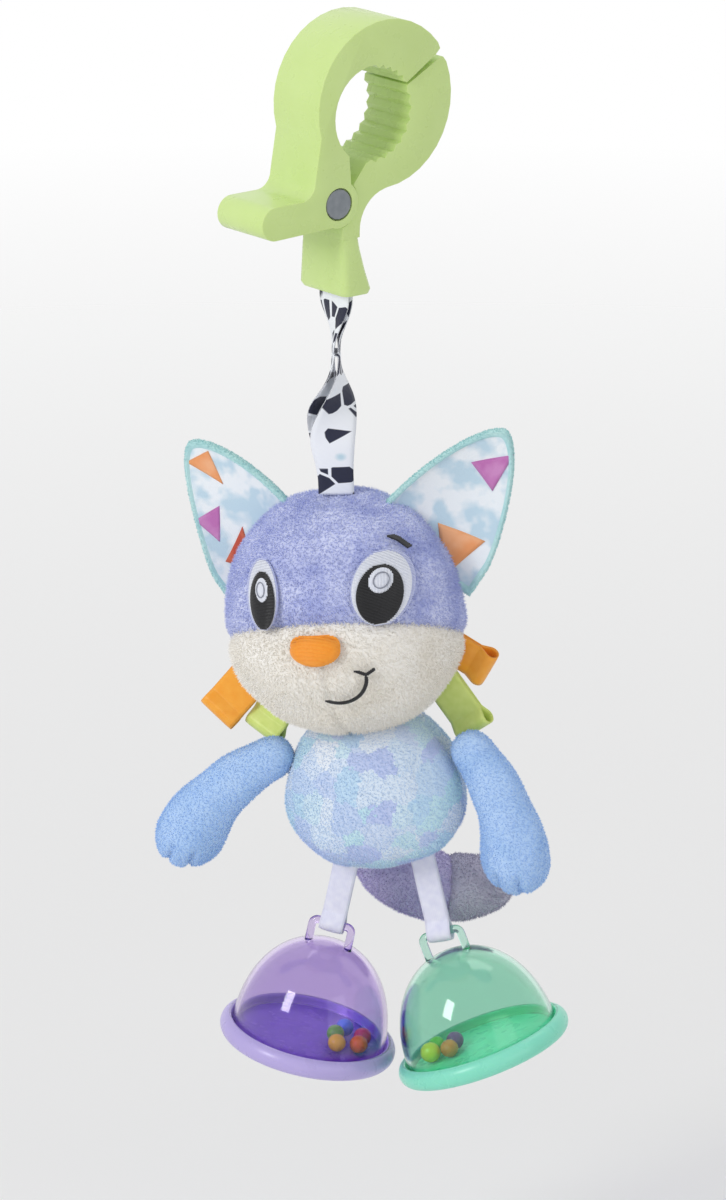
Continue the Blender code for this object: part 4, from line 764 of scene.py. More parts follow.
def settled(piece: Piece, tree: Tree, values: dict[str, object]) -> Piece:
    """Runs a geometry tree on a piece and keeps the result as its plain mesh.

    Args:
        piece: The piece.
        tree: The geometry tree.
        values: Input name to value.

    Returns:
        The piece, with its new mesh and no modifier.
    """
    modifier = piece.modifiers.new(tree.name, "NODES")
    modifier.node_group = tree
    for item in tree.interface.items_tree:
        if item.item_type == "SOCKET" and item.in_out == "INPUT" and item.name in values:
            modifier[item.identifier] = values[item.name]
    bpy.context.view_layer.update()
    mesh = evaluated(piece, preserve_all_data_layers=True)
    piece.modifiers.remove(modifier)
    piece.data = mesh
    mesh.name = piece.name
    return piece


@dataclass(frozen=True)
class Pile:
    """How a plush's pile is cut: tufts per square millimetre, and their length and width in millimetres."""

    tufts: float
    long: float
    wide: float
    lean: float = 0.45
    comb: Spot = (0.0, -0.10, -0.30)
    seed: int = 3
    # Where the bare skin lies between the painted-shade root colour, at 0, and the tip colour, at 1.
    skin: float = 0.85

    def grow(
        self, piece: Piece, finish: Finish, share_at: Callable[[Points], Points] | None = None
    ) -> Piece:
        """Grows the pile on a skin.

        Args:
            piece: The skin.
            finish: The plush.
            share_at: Gives each point's share of the full density, or None for all of it.

        Returns:
            The piece with its pile.
        """
        count = len(piece.data.vertices)
        places = np.zeros(count * 3, np.float32)
        piece.data.vertices.foreach_get("co", places)
        share = np.ones(count) if share_at is None else share_at(places.reshape(-1, 3).astype(float))
        values = {"pile": share, "tip": np.full(count, self.skin), "tuft": np.full(count, 0.5)}
        for name, value in values.items():
            held = piece.data.attributes.new(name, "FLOAT", "POINT")
            held.data.foreach_set("value", np.asarray(value, np.float32))
        return settled(piece, pile_tree(), {
            "Density": self.tufts / MM**2,
            "Tuft Length": self.long * MM,
            "Tuft Width": self.wide * MM,
            "Lean": self.lean,
            "Comb": self.comb,
            "Seed": self.seed,
            "Finish": finish.material(),
        })


def threads(name: str, lines: Sequence[Points], radius_mm: float, finish: Finish) -> Piece:
    """Lays round threads along lines.

    Args:
        name: The object's name.
        lines: Each line's points, in world coordinates.
        radius_mm: The thread's radius.
        finish: The thread's finish.

    Returns:
        One object with every thread.
    """
    points = np.concatenate(lines)
    edges, first = [], 0
    for line in lines:
        edges += [(first + k, first + k + 1) for k in range(len(line) - 1)]
        first += len(line)
    mesh = bpy.data.meshes.new(name)
    mesh.from_pydata([tuple(p) for p in points], edges, [])
    return settled(linked(name, mesh), thread_tree(), {
        "Thread Radius": radius_mm * MM, "Sides": THREAD_SIDES, "Finish": finish.material(),
    })


# Ribbons.


@dataclass
class Ribbon:
    """A ribbon that follows a line of (across, height) points in a frame, and may twist, narrow and bow."""

    name: str
    line: Profile
    thick: float
    finish: Finish
    frame: Matrix
    width_at: Callable[[float], float]
    turn_at: Callable[[float], float] = lambda h: 0.0
    bow_at: Callable[[float], float] = lambda h: 0.0
    cup: float = 0.0
    steps: int = 8

    def length(self) -> float:
        """The ribbon's flat length."""
        return sum(math.dist(a, b) for a, b in zip(self.line, self.line[1:]))

    def build(self) -> Piece:
        """Builds the ribbon with a UV map in millimetres along and across it.

        Returns:
            The ribbon's object.
        """
        rings, marks, along = [], [], 0.0
        for k, (across, height) in enumerate(self.line):
            run = run_at(self.line, k)
            along += math.dist(self.line[k], self.line[k - 1]) if k else 0.0
            ring, mark = [], []
            for face in (1, -1):
                for j in range(self.steps + 1):
                    place = (2 * j / self.steps - 1) * face
                    edge = 1 - abs(place) ** 6 * 0.55
                    lift = face * self.thick / 2 * edge + self.cup * (1 - place * place)
                    off = across - run.y * lift
                    level = height + run.x * lift
                    turn = self.turn_at(level)
                    wide = place * self.width_at(level) / 2
                    ring.append((
                        wide * math.cos(turn) - off * math.sin(turn) + self.bow_at(level),
                        wide * math.sin(turn) + off * math.cos(turn),
                        level,
                    ))
                    mark.append((place * self.width_at(0.0) / 2 / MM + (40 if face < 0 else 0), along / MM))
            rings.append(ring)
            marks.append(mark)
        made = skin_of(self.name, np.array(rings, float), self.finish, self.frame)
        return self.mapped(made, np.array(marks, float).reshape(-1, 2))

    def mapped(self, made: Piece, marks: Points) -> Piece:
        """Adds the UV map. The skin keeps the order of its points, because no two share a place."""
        layer = made.data.uv_layers.new(name="ribbon")
        corners = np.zeros(len(made.data.loops), np.int32)
        made.data.loops.foreach_get("vertex_index", corners)
        layer.data.foreach_set("uv", marks[np.minimum(corners, len(marks) - 1)].astype(np.float32).ravel())
        return made


def hairpin(inner_radius: float, length: float, thick: float, loose: float) -> Profile:
    """The middle line of a ribbon that goes up round a bar and hangs down again.

    Args:
        inner_radius: The radius that it goes round.
        length: How far below the bar it ends.
        thick: The ribbon's thickness.
        loose: The space between its two runs.

    Returns:
        (across, height) points, with the bar at the origin.
    """
    radius = inner_radius + thick / 2
    close = (loose + thick) / 2
    opening = math.radians(55)
    turn = arc_points((0.0, 0.0), radius, -math.pi / 2 - opening, -math.pi * 5 / 2 + opening, 24)
    return [(-close, -length), (-close, -radius * 1.7)] + turn + [(close, -radius * 1.7), (close, -length)]


# Stuffed forms.


@dataclass
class StuffedForm:
    """A stuffed form drawn as rings round its own Z axis, from its foot to its crown."""

    half_x: float
    half_y: float
    half_z: float
    power: float = 2.25
    shape_at: Callable[[Points], tuple[Points, Points]] = lambda h: (np.ones_like(h), np.zeros_like(h))

    def reach(self, height: Points) -> Points:
        """The ring's share of the full width at a height from -1 to 1."""
        return np.maximum(1 - np.abs(height) ** self.power, 0.0) ** (1 / self.power)

    def rings(self, rows: int, columns: int, grow: float = 0.0) -> Points:
        """Rings of points, grown or shrunk on every side.

        Args:
            rows: Rings from pole to pole.
            columns: Points in each ring.
            grow: What is added on every side.

        Returns:
            Rows by columns by three.
        """
        height = np.sin(math.pi * (np.arange(rows + 1) / rows - 0.5))[:, None]
        angle = (math.tau * np.arange(columns) / columns)[None, :]
        reach = self.reach(height)
        factor, shift = self.shape_at(height)
        x = (self.half_x * factor + grow) * reach * np.cos(angle)
        y = (self.half_y * factor + grow) * reach * np.sin(angle) + shift * reach
        z = (self.half_z + grow) * height + 0 * angle
        return np.stack([x, y, z], axis=-1)

    def front(self, x: Points, z: Points, lift: Points) -> Points:
        """Points that stand on the form's front, which faces -Y.

        Args:
            x: Places across.
            z: Places up.
            lift: How far each stands out from the surface.

        Returns:
            The points, in the form's own frame.
        """
        def bare(across: Points, up: Points) -> Points:
            height = np.clip(up / self.half_z, -0.98, 0.98)
            reach = self.reach(height)
            factor, shift = self.shape_at(height)
            share = np.clip(across / (self.half_x * factor * reach), -0.98, 0.98)
            y = shift * reach - self.half_y * factor * reach * np.sqrt(1 - share**2)
            return np.stack([across, y, up], axis=-1)

        step = 0.2 * MM
        here = bare(x, z)
        normal = np.cross(bare(x + step, z) - here, bare(x, z + step) - here)
        normal /= np.linalg.norm(normal, axis=-1, keepdims=True)
        return here + normal * np.asarray(lift)[..., None]


def lumps(points: Points, size_mm: float, depth_mm: float, seed: float) -> Points:
    """The uneven swell of hand stuffing, in metres, at each point."""
    rng = np.random.default_rng(int(seed * 100))
    turns = rng.normal(size=(7, 3))
    turns /= np.linalg.norm(turns, axis=1, keepdims=True)
    waves = math.tau / (size_mm * MM) * rng.uniform(0.6, 1.5, 7)
    phases = rng.uniform(0, math.tau, 7)
    total = sum(np.sin(points @ turn * wave + phase) for turn, wave, phase in zip(turns, waves, phases))
    return total / 2.6 * depth_mm * MM


def pulled_in(points: Points, middle: Points, depth: Points) -> Points:
    """Points moved towards a middle by a depth each."""
    way = middle - points
    size = np.linalg.norm(way, axis=-1, keepdims=True)
    return points + way / np.maximum(size, 1e-9) * depth[..., None]


def valley(distance: Points, width_mm: float, depth_mm: float) -> Points:
    """How deep a seam pulls the cloth in at a distance from it."""
    return depth_mm * MM * np.exp(-((distance / (width_mm * MM)) ** 2))


def halved(whole: Piece, name: str, at: Vector, normal: Vector) -> Piece:
    """Keeps the part of a closed form on one side of a plane, and closes the cut.

    Args:
        whole: The closed form. It isn't changed.
        name: The half's name.
        at: A point of the plane.
        normal: Points to the side that is kept.

    Returns:
        The half as a new object.
    """
    mesh = whole.data.copy()
    with reshaped(mesh) as shape:
        everything = [*shape.verts, *shape.edges, *shape.faces]
        cut = bmesh.ops.bisect_plane(
            shape, geom=everything, plane_co=at, plane_no=normal, clear_inner=True, dist=WELD
        )
        rim = [part for part in cut["geom_cut"] if isinstance(part, bmesh.types.BMEdge)]
        bmesh.ops.edgeloop_fill(shape, edges=rim)
        bmesh.ops.recalc_face_normals(shape, faces=shape.faces)
    mesh.shade_smooth()
    return linked(name, mesh)


@dataclass(frozen=True)
class Limb:
    """A stuffed limb that leaves its frame's origin along +X and bends down. Its root is a half ball."""

    shares: tuple[float, ...]
    radii: tuple[float, ...]
    length: float
    bend: float
    flat: float = 0.86

    def radius(self, place: float) -> float:
        """The radius at a place along the limb, closed as a dome at the tip."""
        tip = self.radii[-1]
        into = (place - (self.length - tip)) / tip
        share = place / self.length
        radius = self.radii[-1]
        for (s0, r0), (s1, r1) in zip(zip(self.shares, self.radii), zip(self.shares[1:], self.radii[1:])):
            if share <= s1:
                radius = r0 + (r1 - r0) * smooth_share((share - s0) / (s1 - s0))
                break
        return radius * math.sqrt(max(1 - into * into, 0.0)) if into > 0 else radius

    def rings(self, start: float, end: float, rows: int, columns: int, grow: float, root: bool) -> Points:
        """Rings along the limb between two shares of its length.

        Args:
            start: The first share.
            end: The last share. At 1 the limb closes at its tip.
            rows: Steps between them.
            columns: Points in each ring.
            grow: What is added to the radius.
            root: Whether the root's half ball comes first.

        Returns:
            Rows by columns by three, in the limb's frame.
        """
        angles = math.tau * np.arange(columns) / columns
        turn_radius = self.length / self.bend
        rings = []
        if root:
            for degrees in (80.0, 60.0, 40.0, 20.0):
                angle = math.radians(degrees)
                reach = max(self.radii[0] * math.cos(angle) + grow * math.cos(angle), 0.2 * MM)
                rings.append(np.stack([
                    np.full(columns, -self.radii[0] * math.sin(angle)),
                    reach * self.flat * np.sin(angles), reach * np.cos(angles),
                ], axis=-1))
        for k in range(rows + 1):
            share = start + (end - start) * (math.sin(math.pi / 2 * k / rows) if end >= 1 else k / rows)
            place = self.length * share
            angle = self.bend * share
            radius = self.radius(place)
            full = radius + grow * min(1.0, radius / self.radii[-1])
            centre = np.array([
                turn_radius * math.sin(angle), 0.0, -turn_radius * (1 - math.cos(angle))
            ])
            across = np.array([math.sin(angle), 0.0, math.cos(angle)])
            rings.append(
                centre + np.outer(np.cos(angles), across) * max(full, 0.05 * MM)
                + np.outer(np.sin(angles), (0.0, 1.0, 0.0)) * max(full, 0.05 * MM) * self.flat
            )
        return np.array(rings)


# The clip.


@dataclass
class Clip:
    """The spring clip. Its jaws are the CAD solids with their moulded edges rounded."""

    edge_round: float = 0.8 * MM
    weld: float = 0.002 * MM
    flat_angle: float = math.radians(1.0)
    edge_angle: float = math.radians(38)
    rounded_angle: float = math.radians(30)

    def rounded_copy(self, node: Piece, name: str, finish: Finish) -> Piece:
        """Copies a CAD node, welds it and rounds its sharp edges.

        Args:
            node: The CAD node.
            name: The new piece's name.
            finish: Its finish.

        Returns:
            The new piece.
        """
        mesh = node.data.copy()
        with reshaped(mesh) as shape:
            bmesh.ops.remove_doubles(shape, verts=shape.verts, dist=self.weld)
            bmesh.ops.dissolve_limit(
                shape, angle_limit=self.flat_angle, verts=shape.verts, edges=shape.edges, delimit={"NORMAL"}
            )
        mesh.materials.clear()
        mesh.materials.append(finish.material())
        piece = linked(name, mesh)
        bevel = piece.modifiers.new("moulded_edges", "BEVEL")
        bevel.width = self.edge_round
        bevel.segments = 3
        bevel.limit_method = "ANGLE"
        bevel.angle_limit = self.edge_angle
        bevel.use_clamp_overlap = True
        bevel.harden_normals = False
        mesh.shade_smooth()
        mesh.set_sharp_from_angle(angle=self.edge_angle)
        piece.data = evaluated(piece)
        piece.modifiers.clear()
        piece.data.shade_smooth()
        piece.data.set_sharp_from_angle(angle=self.rounded_angle)
        return piece

    def build(self, nodes: dict[str, Piece]) -> None:
        """Builds both jaws and dresses the pin and the spring."""
        for name, body in (("base_jaw", "clip"), ("hook_jaw", "lever")):
            node = f"clip_{name}"
            dressed(self.rounded_copy(nodes[node], name, LIME), body, "lime_plastic", node)
        with_material(nodes["clip_pivot_pin"], PIN_STEEL)
        with_material(nodes["clip_spring"], SPRING_STEEL)


# The hanging ribbon.


@dataclass
class HangingStrap:
    """The printed ribbon: a loop through the clip's eye, and a twisted length down to the head."""

    width: float = 0.014
    thick: float = 0.0008
    loose: float = 0.0006
    eye_radius: float = 0.0012
    clearance: float = 0.0006
    pinch_width: float = 0.0095
    sewn_width: float = 0.0110
    eye_at: Spot = (-0.003817, -0.004886, -0.052)
    pinch_at: Spot = (-0.003817, -0.004886, -0.07645)
    pinch_z: float = -0.0752
    head_top: float = -0.1192
    clip_turn: float = math.radians(52)
    upper_twist: float = math.radians(-39)
    lower_twist: float = math.radians(-90)
    bulge: float = 0.0022
    bow: float = 0.0014
    step: float = 0.0008

    def build(self) -> None:
        upper_length = self.eye_at[2] - self.pinch_z - 0.15 * MM
        turn_radius = self.eye_radius + self.clearance
        straight = turn_radius * 3.4

        def upper_share(height: float) -> float:
            return smooth_share((-height - straight) / (upper_length - straight))

        loop = Ribbon(
            "hanging_loop",
            refined(hairpin(turn_radius, upper_length, self.thick, self.loose), self.step),
            self.thick, STRAP_PRINT, placed(self.eye_at, (0.0, 0.0, self.clip_turn)),
            lambda h: self.width - (self.width - self.pinch_width) * upper_share(h),
            lambda h: math.pi / 2 + self.upper_twist * upper_share(h),
            cup=0.25 * MM,
        )
        self.place(loop, "ribbon_loop", "strap_loop", ["base_jaw"])

        lower_length = self.pinch_at[2] - self.head_top + 1.5 * MM
        lower_turn = self.clip_turn + math.pi / 2 + self.upper_twist

        def share(height: float) -> float:
            return min(max(-height / lower_length, 0.0), 1.0)

        def spread(height: float) -> float:
            return math.sin(math.pi * share(height)) ** 2

        close = (self.loose + self.thick) / 2
        count = round(lower_length / self.step)
        front = [
            (close + self.bulge * spread(-lower_length * k / count), -lower_length * k / count)
            for k in range(count + 1)
        ]
        back = [(-across, height) for across, height in front[::-1]]
        fold = arc_points((0.0, 0.0), close, math.pi, 0.0, 6)[1:-1]
        tail = Ribbon(
            "hanging_length", back + fold + front, self.thick, STRAP_PRINT, placed(self.pinch_at),
            lambda h: self.pinch_width + (self.width - self.pinch_width) * smooth_share(share(h) / 0.34)
            - (self.width - self.sewn_width) * smooth_share((share(h) - 0.55) / 0.35),
            lambda h: lower_turn + self.lower_twist * smooth_share(share(h) / 0.67),
            lambda h: -self.bow * spread(h),
            cup=0.35 * MM,
        )
        self.place(tail, "ribbon", "strap_tail", ["hanging_loop"])

    def place(self, ribbon: Ribbon, body: str, node: str, rests_on: list[str]) -> None:
        piece = dressed(ribbon.build(), body, "printed_ribbon", node)
        ribbon.length()
        LOG.info("ribbon: %s, %.0f mm long", piece.name, ribbon.length() / MM)


# The head.


@dataclass
class Head:
    """The fox's head: a periwinkle crown over a cream muzzle, with its face, ears and tags."""

    at: Spot = (-0.0013, -0.0030, -0.1588)
    roll: float = math.radians(-6.5)
    half: Spot = (0.0370, 0.0335, 0.0388)
    muzzle_reach: float = 0.0030
    cheek_low: float = 0.28
    cheek_spread: float = 0.55
    cheek_swell: float = 0.035
    seam_bridge: float = 0.0069
    seam_side: float = -0.0085
    pile: Pile = Pile(tufts=3.0, long=1.3, wide=0.34, lean=0.85, comb=(0.0, -0.12, -0.25), seed=5)
    sunk: float = 0.0013
    rows: int = 76
    columns: int = 132
    seam_pull: tuple[float, float] = (2.2, 1.5)
    chin_pull: tuple[float, float] = (1.5, 0.9)
    brow_pull: tuple[float, float] = (1.6, 0.5)
    stuffing: Spot = (24.0, 0.45, 1.0)
    form: StuffedForm = field(init=False)
    frame: Matrix = field(init=False)
    bare: list[Oval] = field(default_factory=list)

    def __post_init__(self) -> None:
        """Draws the head's form and its frame from its sizes."""
        self.form = StuffedForm(*self.half, shape_at=self.shape_at)
        self.frame = placed(self.at, (0.0, self.roll, 0.0))

    def shape_at(self, height: Points) -> tuple[Points, Points]:
        """Cheeks and muzzle: wider and further forward just below the middle."""
        swell = np.exp(-(((height + self.cheek_low) / self.cheek_spread) ** 2))
        return 1 + self.cheek_swell * swell, -self.muzzle_reach * swell

    def slope(self) -> float:
        """How much the crown's seam rises towards the face."""
        return (self.seam_bridge - self.seam_side) / (self.half[1] + self.muzzle_reach)

    def on_face(self, x: Points, z: Points, lift: Points) -> Points:
        """World points that stand on the face."""
        return moved(self.form.front(x, z, lift), self.frame)

    def local(self, points: Points) -> Points:
        """World points in the head's own frame."""
        return moved(points, self.frame.inverted())

    def grown_share(self, points: Points) -> Points:
        """Where the pile grows: everywhere but under the stitched pieces of the face."""
        own = self.local(points)
        share = np.ones(len(own))
        for x, z, half_x, half_z in self.bare:
            inside = ((own[:, 0] - x) / half_x) ** 2 + ((own[:, 2] - z) / half_z) ** 2 < 1
            share[inside & (own[:, 1] < 0)] = 0.0
        return share

    def build(self) -> None:
        """Builds the crown and the muzzle with their seam and their pile."""
        rings = self.form.rings(self.rows, self.columns, -self.sunk)
        slope = self.slope()
        off = (rings[..., 2] + slope * rings[..., 1] - self.seam_side) / math.hypot(1.0, slope)
        pull = valley(off, *self.seam_pull)
        chin = (rings[..., 1] < 0) * (off < 0)
        pull += valley(rings[..., 0], *self.chin_pull) * chin * np.clip((-2 * MM - off) / (6 * MM), 0, 1)
        pull += valley(rings[..., 0], *self.brow_pull) * (off > 0) * (rings[..., 2] > 0.02)
        pull -= lumps(rings, *self.stuffing)
        rings = pulled_in(rings, np.zeros(3), pull)
        whole = skin_of("head_whole", rings, CROWN, self.frame, capped=False)
        at = self.frame @ Vector((0.0, 0.0, self.seam_side))
        normal = self.frame.to_3x3() @ Vector((0.0, slope, 1.0)).normalized()
        for name, side, finish, node, slot in (
            ("crown_plush", 1, CROWN, "head_crown", "periwinkle_plush"),
            ("muzzle_plush", -1, MUZZLE, "head_muzzle", "cream_plush"),
        ):
            half = halved(whole, name, at, normal * side)
            half.data.materials.clear()
            half.data.materials.append(finish.material())
            self.pile.grow(half, finish, self.grown_share)
            dressed(half, "toy", slot, node, *(("head_filling",) if side > 0 else ()))
        bpy.data.objects.remove(whole, do_unlink=True)


@dataclass
class StitchedOval:
    """An oval of satin stitch on the face: parallel threads over a padded base."""

    x: float
    z: float
    half_x: float
    half_z: float
    low: float
    rise: float
    finish: Finish
    pitch: float = 0.42 * MM
    upright: bool = False
    flat_top: float = 0.0

    def half_width(self, up: Points) -> Points:
        """The half width at a height from -1 to 1. A flat top keeps its corners."""
        power = 2 + self.flat_top * (up > 0)
        return np.maximum(1 - np.abs(up) ** power, 0.0) ** (1 / power)

    def lift(self, p: Points, q: Points) -> Points:
        """How far the oval stands out, at places from -1 to 1 across and up."""
        edge = np.clip(p**2 + q**2, 0, 1)
        return self.low + self.rise * np.sqrt(np.maximum(1 - edge**1.5, 0.0))

    def build(self, name: str, head: Head) -> Piece:
        """Builds the oval.

        Args:
            name: The object's name.
            head: The head that it is sewn to.

        Returns:
            One object with the base and its threads.
        """
        radius = self.pitch * 0.62
        lines = []
        across, along = (self.half_x, self.half_z) if self.upright else (self.half_z, self.half_x)
        count = max(4, round(across * 2 / self.pitch))
        for k in range(count):
            off = (2 * (k + 0.5) / count - 1) * 0.985
            reach = math.sqrt(1 - off * off) if self.upright else float(self.half_width(np.array(off)))
            steps = max(6, round(along * reach * 2 / (1.3 * MM)))
            run = np.linspace(-reach, reach, steps + 1) * 0.99
            p, q = (np.full_like(run, off), run) if self.upright else (run, np.full_like(run, off))
            lines.append(head.on_face(
                self.x + p * self.half_x, self.z + q * self.half_z, self.lift(p, q) - radius * 0.6
            ))
        stitched = threads(name, lines, radius / MM, self.finish)
        return joined(name, [stitched, self.base(name + "_base", head)])

    def base(self, name: str, head: Head) -> Piece:
        """The closed pad under the threads."""
        angles = math.tau * np.arange(40) / 40
        rows = []
        for reach, top in ((0.0, 1), (0.3, 1), (0.6, 1), (0.85, 1), (0.97, 1), (0.97, 0), (0.5, 0), (0.0, 0)):
            p, q = np.cos(angles) * reach, np.sin(angles) * reach
            if self.flat_top:
                p = np.where(q > 0, p * (1 + 0.05 * self.flat_top * np.abs(np.sin(angles))), p)
            lift = self.lift(p, q) - self.pitch * 0.7 if top else np.full_like(p, self.low - 0.9 * MM)
            rows.append(head.on_face(self.x + p * self.half_x, self.z + q * self.half_z, lift))
        return skin_of(name, np.array(rows), self.finish, Matrix.Identity(4), capped=False)


@dataclass(frozen=True)
class EyePatch:
    """One eye's ovals, each as x, z, half width and half height on the face."""

    black: Oval
    white: Oval
    glint: Oval


@dataclass
class Face:
    """Eyes, nose, mouth and the one eyebrow, all embroidered. The eyes aren't alike, as on the real toy."""

    head: Head
    right_eye: EyePatch = EyePatch(
        black=(-0.0172, 0.0124, 0.0042, 0.0082),
        white=(-0.0176, 0.0139, 0.0049, 0.0098),
        glint=(-0.0168, 0.0154, 0.0020, 0.0033),
    )
    left_eye: EyePatch = EyePatch(
        black=(0.0184, 0.0125, 0.0065, 0.0083),
        white=(0.0189, 0.0141, 0.0083, 0.0102),
        glint=(0.0187, 0.0163, 0.0033, 0.0034),
    )
    outer_ring: float = 0.0007
    nose_x: float = -0.0011
    nose_z: float = -0.0018
    nose_half: tuple[float, float] = (0.0078, 0.0047)
    mouth_x: float = 0.0044
    mouth_z: float = -0.0104
    mouth_radius: float = 0.0088
    brow_x: float = 0.0232
    brow_z: float = 0.0256
    brow_length: float = 0.0074
    brow_slope: float = math.radians(-38)

    def bare_places(self) -> list[Oval]:
        """Ovals of the head, as x, z and half sizes, that stay free of pile."""
        nose = (self.nose_x, self.nose_z, self.nose_half[0] * 0.97, self.nose_half[1] * 0.97)
        return [self.right_eye.white, self.left_eye.white, nose]

    def oval(self, name: str, place: Oval, low: float, rise: float, finish: Finish, **more: float) -> Piece:
        """Sews one oval of satin stitch on the head."""
        return StitchedOval(*place, low, rise, finish, **more).build(name, self.head)

    def build(self) -> None:
        """Builds every piece of the face."""
        for side in Side:
            self.eye(side)
        place = (self.nose_x, self.nose_z, *self.nose_half)
        nose = self.oval("nose_pad", place, 0.0008, 0.0026, ORANGE_THREAD, pitch=0.40 * MM, flat_top=1.6)
        dressed(nose, "toy", "orange_pad", "nose")
        self.mouth()
        self.brow()

    def eye(self, side: Side) -> None:
        """One eye: its white with a pale lilac edge, and its black with a ringed glint."""
        eye = self.left_eye if side is Side.LEFT else self.right_eye
        word, ring = side.word, self.outer_ring
        x, z, half_x, half_z = eye.white
        around = (x + side.value * ring * 0.5, z + ring * 0.2, half_x + ring, half_z + ring * 0.5)
        edge = self.oval(f"{word}_eye_edge", around, 0.0006, 0.0001, LILAC_THREAD)
        white = self.oval(f"{word}_eye_ground", eye.white, 0.0009, 0.0003, WHITE_THREAD)
        ground = joined(f"{word}_eye_ground", [white, edge])
        dressed(ground, "toy", "white_embroidery", f"{word}_eye_white")
        black = self.oval(f"{word}_eye_black", eye.black, 0.0014, 0.0008, BLACK_THREAD)
        glint = self.oval(
            f"{word}_eye_glint", eye.glint, 0.0021, 0.0006, WHITE_THREAD, pitch=0.38 * MM, upright=True
        )
        x, z, half_x, half_z = eye.glint
        angles = np.linspace(0, math.tau, 40)
        circle = self.head.on_face(
            x + np.cos(angles) * half_x * 0.62, z + np.sin(angles) * half_z * 0.62, np.full(40, 0.0028)
        )
        grey = threads(f"{word}_eye_circle", [circle], 0.20, GREY_THREAD)
        pupil = joined(f"{word}_eye_black", [black, glint, grey])
        dressed(pupil, "toy", "black_embroidery", f"{word}_eye")

    def stem_stitch(self, path: Profile, width: float, lift: float) -> list[Points]:
        """Overlapping slanted stitches along a path of (x, z) points on the face."""
        line = np.array(refined(path, 0.3 * MM))
        way = np.gradient(line, axis=0)
        way /= np.linalg.norm(way, axis=1, keepdims=True)
        side = np.stack([-way[:, 1], way[:, 0]], axis=-1)
        lines = []
        for k in range(0, len(line) - 1, 2):
            last = min(k + 6, len(line) - 1)
            slant = np.linspace(-width, width, last - k + 1)[:, None] / 2
            run = line[k : last + 1] + side[k : last + 1] * slant
            lines.append(self.head.on_face(run[:, 0], run[:, 1], np.full(len(run), lift)))
        return lines

    def mouth(self) -> None:
        """A smile that ends in a small tick."""
        smile = arc_points(
            (self.mouth_x, self.mouth_z), self.mouth_radius, math.radians(-122), math.radians(-4), 24
        )
        end_x, end_z = smile[-1]
        tick = [(end_x + x * MM, end_z + z * MM) for x, z in ((-3.2, 2.4), (0.0, 0.6), (2.6, 2.0))]
        lines = self.stem_stitch(smile, 0.7 * MM, 1.0 * MM) + self.stem_stitch(tick, 0.7 * MM, 1.0 * MM)
        dressed(threads("mouth_stitches", lines, 0.34, BLACK_THREAD), "toy", "black_embroidery", "mouth")

    def brow(self) -> None:
        """The eyebrow over the fox's left eye."""
        along = self.brow_length / 2 * math.cos(self.brow_slope)
        rise = self.brow_length / 2 * math.sin(self.brow_slope)
        path = [
            (self.brow_x - along, self.brow_z - rise), (self.brow_x, self.brow_z + 0.5 * MM),
            (self.brow_x + along, self.brow_z + rise),
        ]
        lines = self.stem_stitch(path, 0.8 * MM, 1.1 * MM)
        brow = threads("left_brow_stitches", lines, 0.40, BLACK_THREAD)
        dressed(brow, "toy", "black_embroidery", "left_eyebrow")


def triangle_grid(corners: Sequence[tuple[float, float]], steps: int) -> tuple[Points, Faces, list[int]]:
    """Fills a triangle with an even grid.

    Args:
        corners: Its three corners.
        steps: Grid steps along each side.

    Returns:
        The grid's points, its faces, and the numbers of the points round its rim.
    """
    places = [(i, j) for i in range(steps + 1) for j in range(steps + 1 - i)]
    index = {place: k for k, place in enumerate(places)}
    weights = np.array([(i, j, steps - i - j) for i, j in places]) / steps
    faces = []
    for i in range(steps):
        for j in range(steps - i):
            faces.append((index[i, j], index[i + 1, j], index[i, j + 1]))
            if i + j < steps - 1:
                faces.append((index[i + 1, j], index[i + 1, j + 1], index[i, j + 1]))
    rim = [(i, 0) for i in range(steps + 1)] + [(steps - j, j) for j in range(1, steps + 1)]
    rim += [(0, j) for j in range(steps - 1, 0, -1)]
    return weights @ np.array(corners), faces, [index[place] for place in rim]


